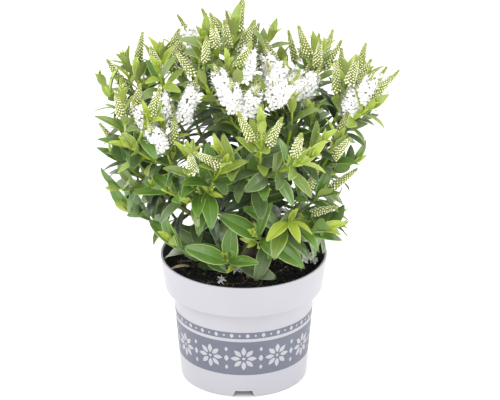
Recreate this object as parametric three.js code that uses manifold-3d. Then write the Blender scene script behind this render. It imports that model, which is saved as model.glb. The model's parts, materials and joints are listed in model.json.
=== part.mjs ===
// A flowering hebe, a small evergreen shrub, growing in a round plastic nursery pot.
//
// Units are millimetres and +Z is up. The origin is the middle of the pot's underside, on the ground.
// +X is the shrub's right and -Y its front.
//
// The pot is a thin turned shell full of potting soil. One woody main stem rises from the soil and
// leans right. Every bough leaves the stem, or a bigger bough, and ends at the foot of one mass of
// foliage. A mass is a leading shoot with a few side shoots. Each shoot carries pairs of leaves,
// every pair turned a quarter from the one below, a tuft of young leaves at its tip, and flower
// spikes round that tuft.

import * as THREE from "three";
import { mergeVertices } from "three/addons/utils/BufferGeometryUtils.js";
import Module from "manifold-3d";

// ---------------------------------------------------------------- driving dimensions

const CLEARANCE = 0.3; // gap between neighbouring solids
const MERGE_DISTANCE = 1e-3; // corners nearer than this are one corner
const FUSE_TOLERANCE = 0.01; // finest detail kept where pieces are fused

// Pot
const POT_HEIGHT = 94;
const POT_FACETS = 44;
const RIM_RADIUS = 60;
const RIM_THICKNESS = 1.8;
const RIM_BEVEL = [0.5, 1]; // across and down, round the top of the rim
const BAND_HEIGHT = 24.5; // the wider collar under the rim
const BAND_FOOT_RADIUS = 56.7;
const STEP_HEIGHT = 3; // slope from the collar in to the body
const BODY_TOP_RADIUS = 50.8;
const BASE_RADIUS = 45;
const WALL = 1.3;
const FLOOR_LIFT = 5.6; // the pot's floor stands this far above the ground
const FOOT_RADIUS = 14; // round foot under the middle of the floor
const DRAIN_HOLES = 6;
const DRAIN_RADIUS = 3.5;
const DRAIN_REACH = 29;
const DRAIN_FACETS = 10;
const NOTCHES = 3; // gaps in the standing ring that let water out, one of them at the front
const NOTCH_BOTTOM = 16.7; // width just under the ground
const NOTCH_TOP = 12;
const NOTCH_HEIGHT = 5;
const NOTCH_DEPTH = 8; // of the block that cuts it, which passes the ground by as much as OVERRUN
const OVERRUN = 1;

// Soil
const SOIL_LEVEL = 84;
const SOIL_FLAT_RADIUS = 30;
const SOIL_EDGE_DROP = 2;
const SOIL_GAP = 0.45; // to the pot's sloping wall

// Main stem, from its cut foot on the soil to its tip
const STEM_FOOT = [6, 15];
const STEM_BEND = [13, 14, 112];
const STEM_FLARE_RADIUS = 6.2;
const STEM_FLARE_HEIGHT = 9;
const STEM_RADIUS = 3.6;
const LIMB_TIP_RADIUS = 1.3;
const FOOT_GAP = 0.45; // from a limb's tip to the foot of its foliage
const BOUGH_THICKNESS = 0.72; // of its parent's, where it leaves it
const LIMB_STEPS = 4;
const LIMB_FACETS = 5;
const LIMB_GAP = 0.42; // from a bough's cut root to its parent's surface
const LIMB_ARRIVAL = 0.42; // how far before its end a bough has turned to its foliage's direction

// Shoots
const SHOOT_STEPS = [3, 2]; // of a leading and a side shoot
const SHOOT_FACETS = 3;
const SHOOT_RADIUS = 2.1;
const SHOOT_TIP_RADIUS = 1.5;
const SHOOT_CURL = 16; // degrees that a leading shoot leans more at its foot and less at its tip
const NODE_SPACING = 8.8; // along a shoot, from one pair of leaves to the next
const SIDE_SHARES = [0.22, 0.5]; // up the leading shoot, of the first and the third side shoot
const SIDE_ANGLE = [38, 52]; // degrees off the leading shoot
const SIDE_LENGTH = [0.62, 0.82]; // of the leading shoot's length
const SIDE_LIFT = 0.45; // how much a side shoot turns up
const SIDE_SWAY = [0.04, 15]; // chance in its share and its turn, either way
const SPIRAL = 137.5; // degrees between one side shoot and the next

// Leaves
const LEAF_WIDTH = 0.5; // of its length
const LEAF_WIDEST = 0.46; // of its length from the root
const LEAF_THICKNESS = 0.036; // of its length, along the keel under the midrib
const LEAF_ARCH = 0.07; // how far the middle stands above the line from root to tip
const LEAF_OPEN = [76, 48]; // degrees off the shoot at its foot and near its tip
const LEAF_DROOP = [0.34, 0.04]; // sag at the shoot's foot and near its tip
const LEAF_LIGHT = 0.45; // how far a blade turns its face up to the light
const LEAF_LIFT = 0.18; // how far the tip turns up
const LEAF_FOOT = 0.9; // width of the root, which is sunk in the shoot
const LEAF_START = 0.5; // from the middle of the shoot to the root
const LEAFY_SHARE = 0.84; // of a shoot's length that carries pairs of leaves
const LEAF_SHARES = [0.1, 0.9]; // the stretch of the shoot that the pairs are spread over
const LEAF_SIZES = [1.04, 0.74]; // of the spray's leaf length, at the shoot's foot and tip
const LEAF_SWAY = [12, 7]; // chance in degrees in its turn and its opening, either way
const LEAF_LENGTHS = [0.9, 1.08]; // chance in its length
const TUFT_SHARES = [0.95, 0.99]; // up the shoot, of the two pairs of young leaves
const TUFT_SIZES = [0.78, 0.56];
const TUFT_OPEN = [30, 14];

// Flower spikes
const SPIKE_SHARE = 0.82; // where the highest one leaves its shoot
const SPIKE_STEP = 4; // down the shoot from one spike to the next
const SPIKE_ANGLE = [40, 54]; // of its stalk off the shoot
const SPIKE_STALK = [8, 11];
const SPIKE_RISING = [0.7, 1.3]; // how far its head turns back along the shoot
const SPIKE_LIFT = 0.2; // how far it turns up
const SPIKE_SWAY = 14; // chance in degrees in its turn, either way
const SIDE_SPIKES = 3; // a side shoot has one for each three of the leading shoot
const BUD_LENGTH = [23, 30];
const BUD_RADIUS = [3.9, 4.5];
const OPEN_LENGTH = [31, 39];
const OPEN_RADIUS = [6.8, 7.8];
const SPIKE_SUNK = 0.2; // root below the place where the stalk leaves the shoot
const STALK_RADIUS = 0.6;
const BUD_FACETS = 5;
const BUD_SHARES = [0.1, 0.62, 1]; // rings up a spike in bud, and their share of its radius
const BUD_WIDTHS = [1, 0.7, 0];
const OPEN_FACETS = 6;
const OPEN_SHARES = [0.1, 0.46, 0.66, 1]; // the same where its lower flowers are open
const OPEN_WIDTHS = [0.96, 0.9, 0.44, 0];

// Space kept between masses, and between foliage and anything else
const SHOOT_GAP = 1.2; // between a shoot or spike and the limbs and other masses
const TOUCH = 0.02; // least gap between leaves and spikes of one mass
const CROWN_MIDDLE = new THREE.Vector3(5, 2, 205); // the crown's outline, an egg round this point
const CROWN_WIDTH = 115;
const CROWN_DEPTH = 98;
const CROWN_RISE = 88;
const CROWN_FALL = 124;
const POT_MARGIN = 2.2;
const SOIL_MARGIN = 1.8;

// Each spray is one bough with the mass of foliage on its end. It leaves its parent limb at a share
// of that limb's length. Its leading shoot ends at a bearing in degrees from the right, a reach from
// the pot's axis and a height, leaning outward from the vertical.
const SPRAYS = [
  //      name            parent        share bearing reach height lean length sides spikes open leaf
  spray("lead",          "main_stem",   1.0,    322,   44,   220,   16,   56,    2,    0,    0,  33),
  spray("left_mid",      "main_stem",   0.22,   197,   90,   226,   16,   62,    2,    4,    0,  34),
  spray("left_back",     "main_stem",   0.38,   169,   60,   244,   15,   58,    2,    3,    1,  30),
  spray("crown_top",     "main_stem",   0.46,   135,   11,   265,    8,   58,    2,    4,    0,  36),
  spray("right_mid",     "main_stem",   0.6,    358,   74,   236,   20,   60,    2,    4,    0,  31),
  spray("front_mid",     "main_stem",   0.28,   282,   62,   218,   22,   66,    2,    3,    0,  33),
  spray("back_mid",      "main_stem",   0.1,    105,   84,   190,   40,   56,    2,    3,    1,  33),
  spray("left_low",      "left_mid",    0.55,   186,   89,   171,   58,   48,    2,    1,    0,  34),
  spray("left_skirt",    "left_mid",    0.3,    189,   82,   132,   72,   50,    2,    0,    0,  38),
  spray("left_bloom",    "left_mid",    0.7,    212,   68,   210,   20,   54,    2,    4,    3,  31),
  spray("left_tip",      "left_back",   0.6,    174,  101,   222,   46,   50,    2,    0,    0,  33),
  spray("left_far",      "left_back",   0.48,   161,   90,   229,   26,   54,    1,    3,    0,  29),
  spray("left_rear",     "left_back",   0.3,    128,   74,   224,   22,   56,    2,    3,    0,  31),
  spray("upper_left",    "crown_top",   0.62,   204,   31,   257,   12,   54,    1,    4,    0,  28),
  spray("crown_bloom",   "crown_top",   0.4,    262,   28,   240,   12,   56,    2,    6,    5,  31),
  spray("centre_bloom",  "crown_top",   0.3,      4,   30,   228,   12,   56,    2,    6,    6,  30),
  spray("crown_rear",    "crown_top",   0.5,     92,   52,   239,   14,   58,    2,    4,    1,  30),
  spray("upper_right",   "right_mid",   0.5,     17,   54,   246,   12,   56,    1,    4,    0,  29),
  spray("right_far",     "right_mid",   0.62,   358,   87,   221,   34,   50,    1,    6,    6,  28),
  spray("right_front",   "right_mid",   0.36,   338,   71,   192,   38,   54,    2,    2,    0,  33),
  spray("right_rear",    "right_mid",   0.22,    52,   72,   220,   22,   58,    2,    3,    0,  31),
  spray("right_low",     "main_stem",   0.46,   332,   61,   152,   54,   46,    2,    3,    0,  35),
  spray("right_skirt",   "main_stem",   0.38,    14,   60,   150,   58,   46,    2,    0,    0,  35),
  spray("front_left",    "front_mid",   0.6,    238,   72,   196,   30,   58,    2,    3,    0,  33),
  spray("front_skirt",   "front_mid",   0.2,    258,   58,   115,   66,   44,    2,    0,    0,  40),
  spray("front_low",     "left_mid",    0.14,   226,   70,   124,   60,   46,    2,    0,    0,  40),
  spray("front_right",   "front_mid",   0.4,    302,   62,   144,   52,   48,    2,    0,    0,  41),
  spray("back_right",    "back_mid",    0.42,    66,   86,   180,   46,   52,    2,    2,    0,  33),
  spray("back_skirt",    "back_mid",    0.25,    92,   70,   132,   66,   46,    2,    0,    0,  37),
];

const COLOURS = {
  pot: { color: 0xdad9e0, roughness: 0.42 },
  soil: { color: 0x1f1710, roughness: 0.98 },
  wood: { color: 0x5b4a33, roughness: 0.85 },
  leaf: { color: 0x4d7d33, roughness: 0.5 },
  bloom: { color: 0x9fb877, roughness: 0.7 },
};

// ---------------------------------------------------------------- small helpers

const UP = new THREE.Vector3(0, 0, 1);
const DEGREES = Math.PI / 180;

function spray(name, parent, share, bearing, reach, height, lean, length, sides, spikes, open, leaf) {
  return { name, parent, share, bearing, reach, height, lean, length, sides, spikes, open, leaf };
}

function mix(a, b, share) {
  return a + (b - a) * share;
}

/** a + b * amount, as a new vector. */
function along(a, b, amount) {
  return a.clone().addScaledVector(b, amount);
}

/** Point at a bearing from the right, a reach from the pot's axis and a height. */
function place(bearing, reach, height) {
  const angle = bearing * DEGREES;
  return new THREE.Vector3(reach * Math.cos(angle), reach * Math.sin(angle), height);
}

/** Unit direction that leans from the vertical toward a bearing. */
function leaning(bearing, lean) {
  return place(bearing, Math.sin(lean * DEGREES), Math.cos(lean * DEGREES));
}

/** Unit vector square to a direction, as near to a hint as it can be. */
function squareTo(direction, hint) {
  return along(hint, direction, -hint.dot(direction)).normalize();
}

/** Repeatable numbers for one mass: a function that draws between two limits. */
function seededDraw(seed) {
  let state = (seed * 2654435761) % 4294967296;
  const draw = (low, high) => {
    state = (state * 1664525 + 1013904223) % 4294967296;
    return low + (high - low) * (state / 4294967296);
  };
  draw(0, 1);
  draw(0, 1);
  return draw;
}

/** Points on the curve from a to c that b pulls toward itself. */
function bend(a, b, c, steps) {
  return new THREE.QuadraticBezierCurve3(a, b, c).getPoints(steps);
}

/** Point, direction and place in the list at a share of a path. */
function atShare(points, share) {
  const spot = share * (points.length - 1);
  const index = Math.min(Math.floor(spot), points.length - 2);
  const direction = points[index + 1].clone().sub(points[index]);
  return { point: along(points[index], direction, spot - index), direction: direction.normalize() };
}

// ---------------------------------------------------------------- solids

const wasm = await Module();
wasm.setup();

/** Closed mesh to a solid that can be joined and cut. */
function solidOf(geometry) {
  const bare = geometry.clone();
  bare.deleteAttribute("normal");
  bare.deleteAttribute("uv");
  const merged = mergeVertices(bare, MERGE_DISTANCE);
  return new wasm.Manifold(new wasm.Mesh({
    numProp: 3,
    vertProperties: Float32Array.from(merged.attributes.position.array),
    triVerts: Uint32Array.from(merged.index.array),
  }));
}

function geometryOf(solid) {
  const { vertProperties, triVerts } = solid.getMesh();
  const geometry = new THREE.BufferGeometry();
  geometry.setAttribute("position", new THREE.BufferAttribute(Float32Array.from(vertProperties), 3));
  geometry.setIndex(new THREE.BufferAttribute(Uint32Array.from(triVerts), 1));
  geometry.computeVertexNormals();
  return geometry;
}

/** Geometry from a list of points and a list of triangles that face out. */
function facets(points, triangles) {
  const geometry = new THREE.BufferGeometry();
  geometry.setAttribute("position", new THREE.Float32BufferAttribute(points.flatMap((p) => p.toArray()), 3));
  geometry.setIndex(triangles.flat());
  return geometry;
}

/** Closed skin round a path. Each ring has its point's radius, and a radius of 0 is a sharp end. */
function loft({ points, radii }, sides) {
  const corners = [];
  const rings = [];
  let across = null;
  points.forEach((point, i) => {
    const ahead = points[Math.min(i + 1, points.length - 1)];
    const direction = ahead.clone().sub(points[Math.max(i - 1, 0)]).normalize();
    const hint = Math.abs(direction.z) < 0.9 ? UP : new THREE.Vector3(0, 1, 0);
    across = squareTo(direction, across ?? hint);
    const other = direction.clone().cross(across);
    const count = radii[i] > 0 ? sides : 1;
    const ring = Array.from({ length: count }, (_, k) => {
      const angle = (2 * Math.PI * k) / sides;
      const side = along(point, across, radii[i] * Math.cos(angle));
      corners.push(side.addScaledVector(other, radii[i] * Math.sin(angle)));
      return corners.length - 1;
    });
    rings.push(ring);
  });
  const triangles = [];
  for (let i = 0; i + 1 < rings.length; i += 1) {
    const at = (ring, k) => ring[k % ring.length];
    for (let k = 0; k < sides; k += 1) {
      const [a, b] = [at(rings[i], k), at(rings[i], k + 1)];
      const [c, d] = [at(rings[i + 1], k), at(rings[i + 1], k + 1)];
      if (a !== b) triangles.push([a, b, d]);
      if (c !== d) triangles.push([a, d, c]);
    }
  }
  const [foot, top] = [rings[0], rings.at(-1)];
  for (let k = 1; k + 1 < sides; k += 1) {
    if (foot.length > 1) triangles.push([foot[0], foot[k + 1], foot[k]]);
    if (top.length > 1) triangles.push([top[0], top[k], top[k + 1]]);
  }
  return facets(corners, triangles);
}

// ---------------------------------------------------------------- pot and soil

const BAND_FOOT = POT_HEIGHT - BAND_HEIGHT;
const FLOOR_TOP = FLOOR_LIFT + WALL;

/** Inner radius of the pot at a height above its floor. */
function potInside(height) {
  const bodyTop = BAND_FOOT - STEP_HEIGHT;
  if (height <= bodyTop) return mix(BASE_RADIUS, BODY_TOP_RADIUS, height / bodyTop) - WALL;
  if (height <= BAND_FOOT) return mix(BODY_TOP_RADIUS, BAND_FOOT_RADIUS, (height - bodyTop) / STEP_HEIGHT) - WALL;
  return mix(BAND_FOOT_RADIUS - WALL, RIM_RADIUS - RIM_THICKNESS, (height - BAND_FOOT) / BAND_HEIGHT);
}

function turned(profile, facetCount) {
  const outline = profile.map(([radius, height]) => new THREE.Vector2(radius, height));
  return new THREE.LatheGeometry(outline, facetCount).rotateX(Math.PI / 2);
}

function potShell() {
  const stepTop = BAND_FOOT + WALL;
  const stepFoot = BAND_FOOT - STEP_HEIGHT + WALL;
  return turned([
    [0, 0],
    [FOOT_RADIUS, 0],
    [FOOT_RADIUS, FLOOR_LIFT],
    [BASE_RADIUS - WALL, FLOOR_LIFT],
    [BASE_RADIUS - WALL, 0],
    [BASE_RADIUS, 0],
    [BODY_TOP_RADIUS, BAND_FOOT - STEP_HEIGHT],
    [BAND_FOOT_RADIUS, BAND_FOOT],
    [RIM_RADIUS, POT_HEIGHT - RIM_BEVEL[1]],
    [RIM_RADIUS - RIM_BEVEL[0], POT_HEIGHT],
    [RIM_RADIUS - RIM_THICKNESS, POT_HEIGHT],
    [BAND_FOOT_RADIUS - WALL, stepTop],
    [BODY_TOP_RADIUS - WALL, stepFoot],
    [potInside(FLOOR_TOP), FLOOR_TOP],
    [0, FLOOR_TOP],
  ], POT_FACETS);
}

/** Upright drain hole through the floor. */
function drainHole(index) {
  const depth = WALL + 2 * OVERRUN;
  const hole = new THREE.CylinderGeometry(DRAIN_RADIUS, DRAIN_RADIUS, depth, DRAIN_FACETS);
  const { x, y } = place((index * 360) / DRAIN_HOLES, DRAIN_REACH, 0);
  return hole.rotateX(Math.PI / 2).translate(x, y, FLOOR_LIFT + WALL / 2);
}

/** Slant-sided gap through the standing ring. */
function notch(index) {
  const outline = new THREE.Shape([
    new THREE.Vector2(-NOTCH_BOTTOM / 2, -OVERRUN),
    new THREE.Vector2(NOTCH_BOTTOM / 2, -OVERRUN),
    new THREE.Vector2(NOTCH_TOP / 2, NOTCH_HEIGHT),
    new THREE.Vector2(-NOTCH_TOP / 2, NOTCH_HEIGHT),
  ]);
  const block = new THREE.ExtrudeGeometry(outline, { depth: NOTCH_DEPTH, bevelEnabled: false });
  block.rotateX(Math.PI / 2).translate(0, NOTCH_DEPTH / 2 - BASE_RADIUS, 0);
  return block.rotateZ((index * 2 * Math.PI) / NOTCHES);
}

function pot() {
  let solid = solidOf(potShell());
  for (let i = 0; i < DRAIN_HOLES; i += 1) solid = solid.subtract(solidOf(drainHole(i)));
  for (let i = 0; i < NOTCHES; i += 1) solid = solid.subtract(solidOf(notch(i)));
  return geometryOf(solid);
}

function soil() {
  const bottom = FLOOR_TOP + CLEARANCE;
  const bodyTop = BAND_FOOT - STEP_HEIGHT + WALL;
  const edge = SOIL_LEVEL - SOIL_EDGE_DROP;
  return turned([
    [0, bottom],
    [potInside(bottom) - SOIL_GAP, bottom],
    [BODY_TOP_RADIUS - WALL - SOIL_GAP, bodyTop],
    [BAND_FOOT_RADIUS - WALL - 2 * SOIL_GAP, BAND_FOOT + WALL + SOIL_GAP],
    [potInside(edge) - SOIL_GAP, edge],
    [SOIL_FLAT_RADIUS, SOIL_LEVEL],
    [0, SOIL_LEVEL],
  ], POT_FACETS);
}

// ---------------------------------------------------------------- limbs

/** Foot of a spray's leading shoot, which is where its bough ends. */
function shootFoot(item) {
  const tip = place(item.bearing, item.reach, item.height);
  return along(tip, leaning(item.bearing, item.lean), -item.length);
}

/** Path of a bough from a point on its parent to the foot of its foliage. */
function boughPath(item, start) {
  const foot = shootFoot(item);
  const arrival = leaning(item.bearing, item.lean + SHOOT_CURL);
  const control = along(foot, arrival, -LIMB_ARRIVAL * start.distanceTo(foot));
  const end = along(foot, arrival, -FOOT_GAP);
  return bend(start, control, end, LIMB_STEPS);
}

/** Radii that narrow evenly from the root to the tip. */
function taper(root, tip, count) {
  return Array.from({ length: count }, (_, i) => mix(root, tip, i / (count - 1)));
}

function mainStem(item) {
  const start = new THREE.Vector3(...STEM_FOOT, SOIL_LEVEL + CLEARANCE);
  const arrival = leaning(item.bearing, item.lean + SHOOT_CURL);
  const end = along(shootFoot(item), arrival, -FOOT_GAP);
  const rise = bend(start, new THREE.Vector3(...STEM_BEND), end, 2 * LIMB_STEPS);
  const points = [start, along(start, UP, STEM_FLARE_HEIGHT), ...rise.slice(2)];
  const radii = [STEM_FLARE_RADIUS, ...taper(STEM_RADIUS, LIMB_TIP_RADIUS, points.length - 1)];
  return { points, radii };
}

/** Every limb by name, each cut clear of the parent that it grows from. */
function limbs() {
  const [lead, ...others] = SPRAYS;
  const grown = new Map([["main_stem", mainStem(lead)]]);
  for (const item of others) {
    const parent = grown.get(item.parent);
    const start = atShare(parent.points, item.share).point;
    const points = boughPath(item, start);
    const thick = toRadius(parent, item.share) * BOUGH_THICKNESS;
    grown.set(item.name, { points, radii: taper(thick, LIMB_TIP_RADIUS, points.length), parent });
  }
  return grown;
}

/** Radius of a limb at a share of its length. */
function toRadius({ radii }, share) {
  const spot = share * (radii.length - 1);
  const index = Math.min(Math.floor(spot), radii.length - 2);
  return mix(radii[index], radii[index + 1], spot - index);
}

function limbSolid(limb) {
  const solid = solidOf(loft(limb, LIMB_FACETS));
  if (!limb.parent) return solid;
  const radii = limb.parent.radii.map((radius) => radius + LIMB_GAP);
  return solid.subtract(solidOf(loft({ points: limb.parent.points, radii }, LIMB_FACETS)));
}

// ---------------------------------------------------------------- growth rule

/** A shoot: its path, its radii and, at each point, a side direction carried along without twist. */
function shootFrom(start, first, second, length, hint, steps) {
  const control = along(start, first, length / 2);
  const points = bend(start, control, along(control, second, length / 2), steps);
  return { points, radii: taper(SHOOT_RADIUS, SHOOT_TIP_RADIUS, points.length), hint, length };
}

/** Direction that opens from a shoot by an angle, on the side that a turn about the shoot gives. */
function opening(shoot, direction, turn, angle) {
  const side = squareTo(direction, shoot.hint);
  const other = direction.clone().cross(side);
  const radial = side.multiplyScalar(Math.cos(turn * DEGREES)).addScaledVector(other, Math.sin(turn * DEGREES));
  return along(radial.multiplyScalar(Math.sin(angle * DEGREES)), direction, Math.cos(angle * DEGREES));
}

/** The leading shoot of a spray and its side shoots. */
function shootsOf(item, draw) {
  const foot = shootFoot(item);
  const first = leaning(item.bearing, item.lean + SHOOT_CURL);
  const second = leaning(item.bearing, item.lean - SHOOT_CURL);
  const level = leaning(item.bearing + 90, 90);
  const lead = shootFrom(foot, first, second, item.length, level, SHOOT_STEPS[0]);
  lead.spikes = item.spikes;
  const shoots = [lead];
  const spin = draw(0, 360);
  for (let i = 0; i < item.sides; i += 1) {
    const share = mix(...SIDE_SHARES, i / 2) + draw(-SIDE_SWAY[0], SIDE_SWAY[0]);
    const { point, direction } = atShare(lead.points, share);
    const turn = spin + i * SPIRAL + draw(-SIDE_SWAY[1], SIDE_SWAY[1]);
    const away = opening(lead, direction, turn, draw(...SIDE_ANGLE));
    const rising = along(away, UP, SIDE_LIFT).normalize();
    const length = item.length * draw(...SIDE_LENGTH);
    const side = shootFrom(point, away, rising, length, direction, SHOOT_STEPS[1]);
    side.spikes = Math.floor(item.spikes / SIDE_SPIKES);
    shoots.push(side);
  }
  return shoots;
}

/** Flower spikes round the tip of a shoot. The first ones are open where the spray is in flower. */
function spikesOf(item, shoot, draw) {
  const spikes = [];
  const spin = draw(0, 360);
  for (let i = 0; i < shoot.spikes; i += 1) {
    const open = i < item.open;
    const { point, direction } = atShare(shoot.points, SPIKE_SHARE - (i * SPIKE_STEP) / shoot.length);
    const turn = spin + (i * 360) / shoot.spikes + draw(-SPIKE_SWAY, SPIKE_SWAY);
    const away = opening(shoot, direction, turn, draw(...SPIKE_ANGLE));
    const rising = along(along(away, direction, draw(...SPIKE_RISING)), UP, SPIKE_LIFT).normalize();
    const stalk = draw(...SPIKE_STALK);
    const length = draw(...(open ? OPEN_LENGTH : BUD_LENGTH));
    const radius = draw(...(open ? OPEN_RADIUS : BUD_RADIUS));
    const root = along(point, direction, -SPIKE_SUNK);
    const collar = along(point, away, stalk);
    spikes.push({ open, root, collar, rising, length, radius });
  }
  return spikes;
}

/** A spike: its stalk, then a spindle of flowers or buds that ends in a sharp tip. */
function spikeSolid({ open, root, collar, rising, length, radius }) {
  const shares = open ? OPEN_SHARES : BUD_SHARES;
  const widths = open ? OPEN_WIDTHS : BUD_WIDTHS;
  const head = shares.map((share) => along(collar, rising, share * length));
  const radii = widths.map((width) => width * radius);
  return solidOf(loft({
    points: [root, collar, ...head],
    radii: [STALK_RADIUS, STALK_RADIUS, ...radii],
  }, open ? OPEN_FACETS : BUD_FACETS));
}

/** The tuft of young leaves on a shoot's tip, then its pairs of leaves from the top down. */
function leavesOf(item, shoot, draw) {
  const leaves = [];
  const pairs = Math.floor((shoot.length * LEAFY_SHARE) / NODE_SPACING);
  const spin = draw(0, 360);
  for (let i = pairs + TUFT_SIZES.length - 1; i >= 0; i -= 1) {
    const tuft = i - pairs;
    const share = tuft < 0 ? mix(...LEAF_SHARES, (i + 0.5) / pairs) : TUFT_SHARES[tuft];
    const size = tuft < 0 ? mix(...LEAF_SIZES, share * share) : TUFT_SIZES[tuft];
    const open = tuft < 0 ? mix(...LEAF_OPEN, share) : TUFT_OPEN[tuft];
    const droop = mix(...LEAF_DROOP, share);
    for (const half of [0, 180]) {
      const turn = spin + i * 90 + half + draw(-LEAF_SWAY[0], LEAF_SWAY[0]);
      const length = item.leaf * size * draw(...LEAF_LENGTHS);
      const angle = open + draw(-LEAF_SWAY[1], LEAF_SWAY[1]);
      leaves.push(leafAt(shoot, share, turn, angle, length, droop));
    }
  }
  return leaves;
}

/** A leaf's corners: both ends of its root, tip, both margins at its widest, and its keel. */
function leafAt(shoot, share, turn, open, length, droop) {
  const { point, direction } = atShare(shoot.points, share);
  const away = opening(shoot, direction, turn, open);
  const foot = along(point, away, LEAF_START);
  const tip = along(foot, along(away, UP, LEAF_LIFT - droop).normalize(), length);
  const line = tip.clone().sub(foot).normalize();
  const face = squareTo(line, along(squareTo(line, direction), UP, LEAF_LIGHT));
  const across = face.clone().cross(line);
  const middle = along(along(foot, line, LEAF_WIDEST * length), face, LEAF_ARCH * length);
  const half = (LEAF_WIDTH * length) / 2;
  return {
    length,
    footLeft: along(foot, across, LEAF_FOOT / 2),
    footRight: along(foot, across, -LEAF_FOOT / 2),
    left: along(middle, across, half),
    right: along(middle, across, -half),
    tip,
    keel: along(middle, face, -LEAF_THICKNESS * length),
  };
}

/** A blade with three faces above and five round its keel below. */
function leafSolid({ footLeft, footRight, left, right, tip, keel }) {
  return solidOf(facets([footLeft, footRight, left, right, tip, keel], [
    [0, 1, 3], [0, 3, 2], [2, 3, 4],
    [1, 0, 5], [0, 2, 5], [2, 4, 5], [4, 3, 5], [3, 1, 5],
  ]));
}

// ---------------------------------------------------------------- own space

/** A solid with its bounding box, so that far neighbours are passed over quickly. */
function piece(solid, kind) {
  return { solid, kind, box: solid.boundingBox() };
}

function boxesMeet(a, b, gap) {
  return [0, 1, 2].every((k) => a.min[k] - gap < b.max[k] && b.min[k] - gap < a.max[k]);
}

/** True where a piece keeps at least the gap to each of the others. */
function keepsClear(item, others, gap) {
  const near = others.filter((other) => boxesMeet(item.box, other.box, gap));
  return near.every((other) => item.solid.minGap(other.solid, 2 * gap) >= gap);
}

/** True where a point lies inside the crown's outline and clear of the pot and the soil. */
function inSpace(point) {
  const offset = point.clone().sub(CROWN_MIDDLE);
  const height = offset.z > 0 ? CROWN_RISE : CROWN_FALL;
  if (Math.hypot(offset.x / CROWN_WIDTH, offset.y / CROWN_DEPTH, offset.z / height) > 1) return false;
  const reach = Math.hypot(point.x, point.y);
  if (point.z > POT_HEIGHT + POT_MARGIN) return true;
  return reach < potInside(point.z) - POT_MARGIN && point.z > SOIL_LEVEL + SOIL_MARGIN;
}

/** The whole crown: for each spray the pieces of its mass that keep to their own space. */
function crown(limbPieces) {
  const masses = SPRAYS.map((item, index) => {
    const draw = seededDraw(index + 1);
    const shoots = shootsOf(item, draw);
    const spikes = shoots.map((shoot) => spikesOf(item, shoot, draw));
    const leaves = shoots.map((shoot) => leavesOf(item, shoot, draw));
    return { item, shoots, spikes, leaves, pieces: [] };
  });
  const apart = (candidate, mass, gap) => {
    const others = masses.filter((other) => other !== mass).flatMap((other) => other.pieces);
    return keepsClear(candidate, [...limbPieces, ...others], gap);
  };
  for (const mass of masses) mass.pieces.push(piece(solidOf(loft(mass.shoots[0], SHOOT_FACETS)), "shoot"));
  for (const mass of masses) {
    mass.grown = mass.shoots.map((shoot, i) => {
      if (i === 0) return true;
      const candidate = piece(solidOf(loft(shoot, SHOOT_FACETS)), "shoot");
      const fits = shoot.points.every(inSpace) && apart(candidate, mass, SHOOT_GAP);
      if (fits) mass.pieces.push(candidate);
      return fits;
    });
  }
  for (const mass of masses) {
    for (const spike of mass.spikes.filter((_, i) => mass.grown[i]).flat()) {
      const candidate = piece(spikeSolid(spike), "spike");
      const beside = mass.pieces.filter(({ kind }) => kind === "spike");
      const tip = along(spike.collar, spike.rising, spike.length);
      const fits = inSpace(tip) && keepsClear(candidate, beside, TOUCH) && apart(candidate, mass, SHOOT_GAP);
      if (fits) mass.pieces.push(candidate);
    }
  }
  const rounds = Math.max(...masses.map(({ leaves }) => leaves.flat().length));
  for (const mass of masses) mass.queue = mass.leaves.filter((_, i) => mass.grown[i]).flat();
  for (let round = 0; round < rounds; round += 1) {
    for (const mass of masses) {
      const leaf = mass.queue[round];
      if (!leaf || ![leaf.tip, leaf.left, leaf.right, leaf.keel].every(inSpace)) continue;
      const candidate = piece(leafSolid(leaf), "leaf");
      const beside = mass.pieces.filter(({ kind }) => kind !== "shoot");
      const fits = keepsClear(candidate, beside, TOUCH) && apart(candidate, mass, CLEARANCE);
      if (fits) mass.pieces.push(candidate);
    }
  }
  return masses;
}

/** The pieces of a mass as one body, without loose scraps or sealed hollows. */
function massSolid({ pieces }) {
  const fused = wasm.Manifold.union(pieces.map(({ solid }) => solid)).simplify(FUSE_TOLERANCE);
  const bodies = solidOf(geometryOf(fused)).decompose();
  return bodies.reduce((best, body) => (body.volume() > best.volume() ? body : best));
}

// ---------------------------------------------------------------- the part

const part = new THREE.Group();

function add(name, geometry, look) {
  const material = new THREE.MeshStandardMaterial({ ...COLOURS[look], metalness: 0 });
  const mesh = new THREE.Mesh(geometry, material);
  mesh.name = name;
  part.add(mesh);
}

add("pot", pot(), "pot");
add("root_ball", soil(), "soil");
const limbPieces = [];
for (const [name, limb] of limbs()) {
  const solid = limbSolid(limb);
  limbPieces.push(piece(solid, "limb"));
  add(name === "main_stem" ? name : `bough_${name}`, geometryOf(solid), "wood");
}
for (const mass of crown(limbPieces)) {
  const look = mass.item.open > 0 ? "bloom" : "leaf";
  add(`foliage_${mass.item.name}`, geometryOf(massSolid(mass)), look);
}

export default part;
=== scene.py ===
"""The looks of a flowering hebe shrub in its nursery pot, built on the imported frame.

The shrub grows here by the same rule as its solids: the same sprays, shoots, spikes and pairs of leaves,
from the same repeatable numbers, carried on to finer twigs, buds and flowers. Lengths are in
millimetres until a mesh is made, and MM turns them into metres.
"""

import json
import random
from collections import namedtuple
from functools import cache
from math import cos, degrees, hypot, log, pi, radians, sin, sqrt

import bpy
import numpy as np
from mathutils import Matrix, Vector
from mathutils.bvhtree import BVHTree

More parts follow.
